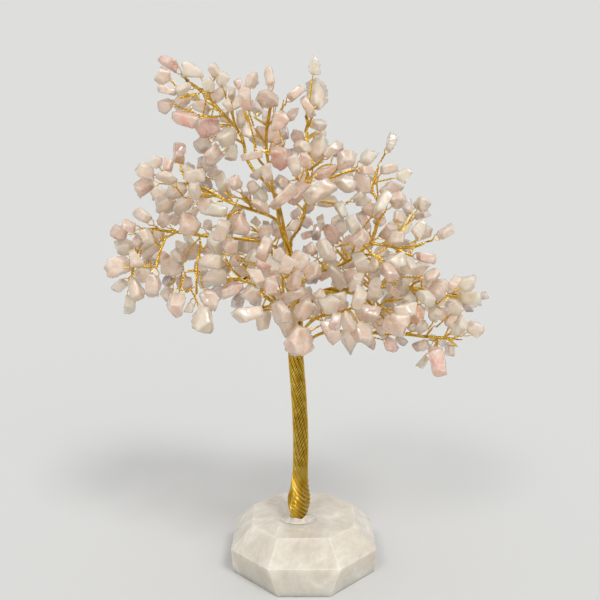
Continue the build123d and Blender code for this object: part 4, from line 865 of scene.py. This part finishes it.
class TREE_OT_boughs(bpy.types.Operator):
    """Winds each bough and its run down the trunk as one rope of fine wires"""

    bl_idname = "tree.boughs"
    bl_label = "Wind the boughs"

    def execute(self, context):
        settings = context.scene.tree_wires
        material = gold_wire_material()
        solids = [separate_solids(*merged_mesh(bough + "_strand"))[0] for bough in BOUGHS]
        routes = [outward_route(wire_route(*solid)) for solid in solids]
        trunk = trunk_line(routes)
        for bough, (points, _), route in zip(BOUGHS, solids, routes):
            surfaces = Surfaces()
            envelope = 2 * rope_radius(points, route)
            wind_wires(surfaces, route, settings, "strand", envelope, trunk)
            add_piece("rope_" + bough, surfaces, material, bough + "_strand")
        return {"FINISHED"}


class TREE_OT_twigs(bpy.types.Operator):
    """Winds the twigs as ropes of fine wires and the stems as twisted pairs"""

    bl_idname = "tree.twigs"
    bl_label = "Wind the twigs and stems"

    def execute(self, context):
        settings = context.scene.tree_wires
        material = bpy.data.materials["gold_plated_wire"]
        for bough in BOUGHS:
            surfaces = Surfaces()
            for points, triangles in separate_solids(*merged_mesh(bough + "_twigs")):
                route = wire_route(points, triangles)
                envelope = 2 * rope_radius(points, route)
                if len(route[0]) > 2 or envelope > PAIR_SPAN * settings.wire_diameter:
                    wind_wires(surfaces, outward_route(route), settings, "twig", envelope)
                else:
                    wind_wires(surfaces, route, settings, "pair", envelope)
            add_piece("twists_" + bough, surfaces, material, bough + "_twigs")
        return {"FINISHED"}


def tightened(stations):
    """An eye drawn in to its stone: its distance from its own middle line shrinks to a fixed share.

    The line runs from halfway between the eye's two ends to its far point.
    """
    foot = (stations[0] + stations[-1]) / 2
    reach = unit_rows(stations[len(stations) // 2] - foot)
    away = stations - foot
    along = np.outer(away @ reach, reach)
    return foot + along + EYE_WIDTH * (away - along)


class TREE_OT_eyes(bpy.types.Operator):
    """Bends the fine wire that passes through each chip's drilled hole"""

    bl_idname = "tree.eyes"
    bl_label = "Bend the eyes"

    def execute(self, context):
        settings = context.scene.tree_wires
        material = bpy.data.materials["gold_plated_wire"]
        wire_radius = settings.wire_diameter / 2
        for bough in BOUGHS:
            surfaces = Surfaces()
            for points, triangles in separate_solids(*merged_mesh(bough + "_eyes")):
                route = wire_route(points, triangles)
                stations = tightened(even_stations(*route, settings.wire_diameter * EYE_STEP))
                for rings, faces, _ in twisted_wires(stations, 1, 0.0, wire_radius, NO_TWIST):
                    surfaces.add(rings, faces, 1.0)
            add_piece("eyes_" + bough, surfaces, material, bough + "_eyes")
        return {"FINISHED"}


def seen_place(middle):
    """Where the camera sees a point, as x and z on the tree's middle plane."""
    eye = np.array(CAMERA_PLACE)
    return (eye + (middle - eye) * eye[1] / (eye[1] - middle[1]))[[0, 2]]


def chip_tones(middles, draws):
    """Each chip's own tone: mostly pale at random, greyer at the back, and the marked ones as given."""
    tones = draws.beta(*TONE_SHAPE, len(middles)) * TONE_REACH
    behind = (middles[:, 1] > GREY_FROM) & (draws.random(len(middles)) < GREY_SHARE)
    tones[behind] = GREY_TONE
    seen = np.array([seen_place(middle) for middle in middles])
    for x, z, tone in MARKED_CHIPS:
        away = np.linalg.norm(seen - np.array([x, z]) / 1000, axis=1)
        front = np.where(away < MARK_REACH, middles[:, 1], np.inf)
        tones[front.argmin()] = tone
    return tones


class TREE_OT_chips(bpy.types.Operator):
    """Shapes every tumbled chip from the planes of its solid"""

    bl_idname = "tree.chips"
    bl_label = "Tumble the chips"

    def execute(self, context):
        settings = context.scene.tree_stones
        material = rose_quartz_material()
        draws = np.random.default_rng(CHIP_SEED)
        shells = []
        for bough in BOUGHS:
            for points, triangles in separate_solids(*merged_mesh(bough + "_chips")):
                shells.append((bough, *stone_surface(
                    points, triangles, settings.roundness, settings.grid_rows, settings.grid_columns, draws,
                )))
        tones = chip_tones(np.array([row[-1] for row in shells]), draws)
        for bough in BOUGHS:
            surfaces = Surfaces()
            for (owner, shell, faces, rub, _), tone in zip(shells, tones):
                if owner == bough:
                    surfaces.add(shell, faces, tone, rub)
            add_piece("chips_" + bough, surfaces, material, bough + "_chips")
        return {"FINISHED"}


class TREE_OT_base(bpy.types.Operator):
    """Polishes the edges of the faceted quartz base and paints them pale as highlights"""

    bl_idname = "tree.base"
    bl_label = "Polish the base"

    def execute(self, context):
        points, triangles = merged_mesh("base_stone")
        normals, offsets, _ = face_planes(points, triangles)
        front = (normals @ np.array(FRONT_FACET)).argmax()
        surfaces = Surfaces()
        # The front facet's points carry the painted highlight that whitens its edges most.
        in_front = np.abs(points @ normals[front] - offsets[front]) < PLANE_SLACK
        surfaces.add(points, [triangles], rub=in_front)
        facets = base_quartz_material("polished_cloudy_quartz", [
            (0.34, "#C2B6A9"), (0.44, "#CCC4B7"), (0.54, "#D5CFC2"), (0.66, "#E6E1D6"),
        ])
        # Painted highlights, where light leaves the stone along its polished edges: thin pale lines, white
        # at the front.
        edges = base_quartz_material(
            "quartz_polished_edge",
            [(0.34, "#CFC6BA"), (0.6, "#E4DFD3")], [(0.34, "#F2EEE4"), (0.6, "#FFFDF6")],
        )
        piece = add_piece("polished_base", surfaces, facets, "base_stone")
        piece.data.materials.append(edges)
        bevel = piece.modifiers.new("polished edges", "BEVEL")
        bevel.width = context.scene.tree_base.edge_width
        bevel.segments = 2
        bevel.material = 1
        bevel.limit_method = "ANGLE"
        bevel.angle_limit = FACET_ANGLE
        bevel.harden_normals = True
        return {"FINISHED"}


def glue_surface(middle, inner, reach_x, reach_y, top, draws):
    """A run of glue round the trunk's foot.

    At each angle it goes from the wires out to an oval edge that wanders, and its height is a thin smear
    that rounds off at the edge plus a skirt that climbs the wires and falls away from them.
    """
    angle = TURN * np.arange(GLUE_COLUMNS) / GLUE_COLUMNS
    wander = sum(
        draws.uniform(-EDGE_WANDER, EDGE_WANDER) * np.cos(wave * angle + draws.uniform(0, TURN))
        for wave in EDGE_WAVES
    )
    edge = (1 + wander) * reach_x * reach_y / np.hypot(reach_y * np.cos(angle), reach_x * np.sin(angle))
    share = np.linspace(0, 1, GLUE_ROWS)[:, None]
    reach = inner + (edge - inner) * share
    lumps = sum(
        draws.uniform(-LUMPINESS, LUMPINESS)
        * np.cos(wave * angle + draws.uniform(0, TURN) + LUMP_SLANT * share)
        for wave in LUMP_WAVES
    )
    climb = SKIRT_HEIGHT * (1 + SKIRT_LEAN * np.cos(angle + SKIRT_TURN) + lumps)
    height = SMEAR_DEPTH * (1 + lumps) * (1 - share**2) + climb * np.exp(-(reach - inner) / SKIRT_LENGTH)
    height = np.broadcast_to(height, reach.shape)
    upper = np.stack([reach * np.cos(angle), reach * np.sin(angle), height], axis=-1)
    lower = upper[::-1].copy()
    lower[..., 2] = UNDERSIDE_GAP - UNDERSIDE_DIP * (1 - share[::-1]) ** DIP_POWER
    points = np.concatenate([upper, lower]).reshape(-1, 3)
    number = np.arange(2 * GLUE_ROWS * GLUE_COLUMNS).reshape(2 * GLUE_ROWS, GLUE_COLUMNS)
    following = np.roll(number, -1, axis=0)
    walls = [number, following, np.roll(following, -1, axis=1), np.roll(number, -1, axis=1)]
    return points + np.array([middle[0], middle[1], top]), [np.stack(walls, axis=-1).reshape(-1, 4)]


class TREE_OT_glue(bpy.types.Operator):
    """Runs clear glue round the trunk's foot"""

    bl_idname = "tree.glue"
    bl_label = "Run the glue"

    def execute(self, context):
        low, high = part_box("glue_collar")
        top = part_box("base_stone")[1][2]
        points, _ = merged_mesh("glue_collar")
        rim = points[points[:, 2] > high[2] - MERGE_STEP]
        middle = rim[:, :2].mean(axis=0)
        inner = np.linalg.norm(rim[:, :2] - middle, axis=1).min()
        reach_x, reach_y = (
            share * (high[axis] - low[axis]) for axis, share in enumerate(GLUE_REACH_SHARES)
        )
        surfaces = Surfaces()
        draws = np.random.default_rng(GLUE_SEED)
        surfaces.add(*glue_surface(middle, inner, reach_x, reach_y, top, draws))
        add_piece("set_glue", surfaces, clear_glue_material(), "glue_collar")
        return {"FINISHED"}


def lay_floor(settings):
    """A level square at the height of the rest face, which isn't part of the tree."""
    mesh = bpy.data.meshes.new("floor")
    corners = [(FLOOR_REACH * x, FLOOR_REACH * y, 0) for x, y in ((-1, -1), (1, -1), (1, 1), (-1, 1))]
    mesh.from_pydata(corners, [], [(0, 1, 2, 3)])
    mesh.materials.append(pale_stage_material(settings))
    floor = bpy.data.objects.new("floor", mesh)
    bpy.context.scene.collection.objects.link(floor)
    floor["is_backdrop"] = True


def hang_lamps(settings):
    """Distant lamps, each turned so that it shines on the tree."""
    for name, place, strength, size in LAMPS:
        lamp = bpy.data.lights.new(name, "SUN")
        lamp.energy = getattr(settings, strength)
        lamp.angle = getattr(settings, size)
        hung = bpy.data.objects.new(name, lamp)
        hung.location = place
        hung.rotation_euler = (-Vector(place)).to_track_quat("-Z", "Y").to_euler()
        bpy.context.scene.collection.objects.link(hung)


def light_sky(settings):
    """Even white light from all round, and a pale backdrop that the camera, gloss and clear stone see."""
    world = bpy.data.worlds.new("soft_sky")
    bpy.context.scene.world = world
    world.use_nodes = True
    tree = world.node_tree
    tree.nodes.clear()
    rays = add_node(tree, "ShaderNodeLightPath").outputs
    seen = rays["Is Camera Ray"]
    for ray in ("Is Glossy Ray", "Is Transmission Ray"):
        either = add_node(tree, "ShaderNodeMath", {0: seen, 1: rays[ray]}, operation="MAXIMUM")
        seen = either.outputs["Value"]
    light = add_node(
        tree, "ShaderNodeBackground", {"Color": linear("#FFFFFF"), "Strength": settings.sky_strength},
    )
    backdrop = add_node(tree, "ShaderNodeBackground", {"Color": linear("#DEDEDC"), "Strength": 1.0})
    mixed = add_node(
        tree, "ShaderNodeMixShader",
        {0: seen, 1: light.outputs["Background"], 2: backdrop.outputs["Background"]},
    )
    add_node(tree, "ShaderNodeOutputWorld", {"Surface": mixed.outputs["Shader"]})


def place_camera():
    """The camera in front of the tree, looking slightly down on it."""
    camera = bpy.data.cameras.new("camera")
    camera.lens = CAMERA_LENS
    camera.sensor_width = SENSOR_WIDTH
    eye = bpy.data.objects.new("camera", camera)
    eye.location = CAMERA_PLACE
    eye.rotation_euler = (math.radians(90 - CAMERA_DIP), 0, 0)
    bpy.context.scene.collection.objects.link(eye)
    bpy.context.scene.camera = eye


class TREE_OT_stage(bpy.types.Operator):
    """Lays the pale floor, hangs the soft lamps and places the camera"""

    bl_idname = "tree.stage"
    bl_label = "Set the stage"

    def execute(self, context):
        settings = context.scene.tree_stage
        context.scene.view_settings.view_transform = "Standard"
        lay_floor(settings)
        hang_lamps(settings)
        light_sky(settings)
        place_camera()
        return {"FINISHED"}


# The add-on's classes, and running it

OPERATORS = [
    TREE_OT_stage, TREE_OT_boughs, TREE_OT_twigs, TREE_OT_eyes, TREE_OT_chips, TREE_OT_base, TREE_OT_glue,
]
SETTINGS = {
    "tree_wires": WireSettings, "tree_stones": StoneSettings,
    "tree_base": BaseSettings, "tree_stage": StageSettings,
}


class TREE_PT_panel(bpy.types.Panel):
    """Sizes and steps of the gemstone tree"""

    bl_label = "Gemstone tree"
    bl_idname = "TREE_PT_panel"
    bl_space_type = "VIEW_3D"
    bl_region_type = "UI"
    bl_category = "Gem tree"

    def draw(self, context):
        for name, group in SETTINGS.items():
            box = self.layout.box()
            for field in group.__annotations__:
                box.prop(getattr(context.scene, name), field)
        for operator in OPERATORS:
            self.layout.operator(operator.bl_idname)


def register():
    """Adds the settings, the operators and the panel to Blender."""
    for group in (*SETTINGS.values(), *OPERATORS, TREE_PT_panel):
        bpy.utils.register_class(group)
    for name, group in SETTINGS.items():
        setattr(bpy.types.Scene, name, bpy.props.PointerProperty(type=group))


def unregister():
    """Takes away what register adds, in reverse."""
    for name in SETTINGS:
        delattr(bpy.types.Scene, name)
    for group in reversed((*SETTINGS.values(), *OPERATORS, TREE_PT_panel)):
        bpy.utils.unregister_class(group)


def main():
    register()
    for operator in OPERATORS:
        category, step = operator.bl_idname.split(".")
        getattr(getattr(bpy.ops, category), step)()
    plain = [[list(corner) for corner in bounds] for bounds in (cad_bounds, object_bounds())]


if __name__ == "__main__":
    main()
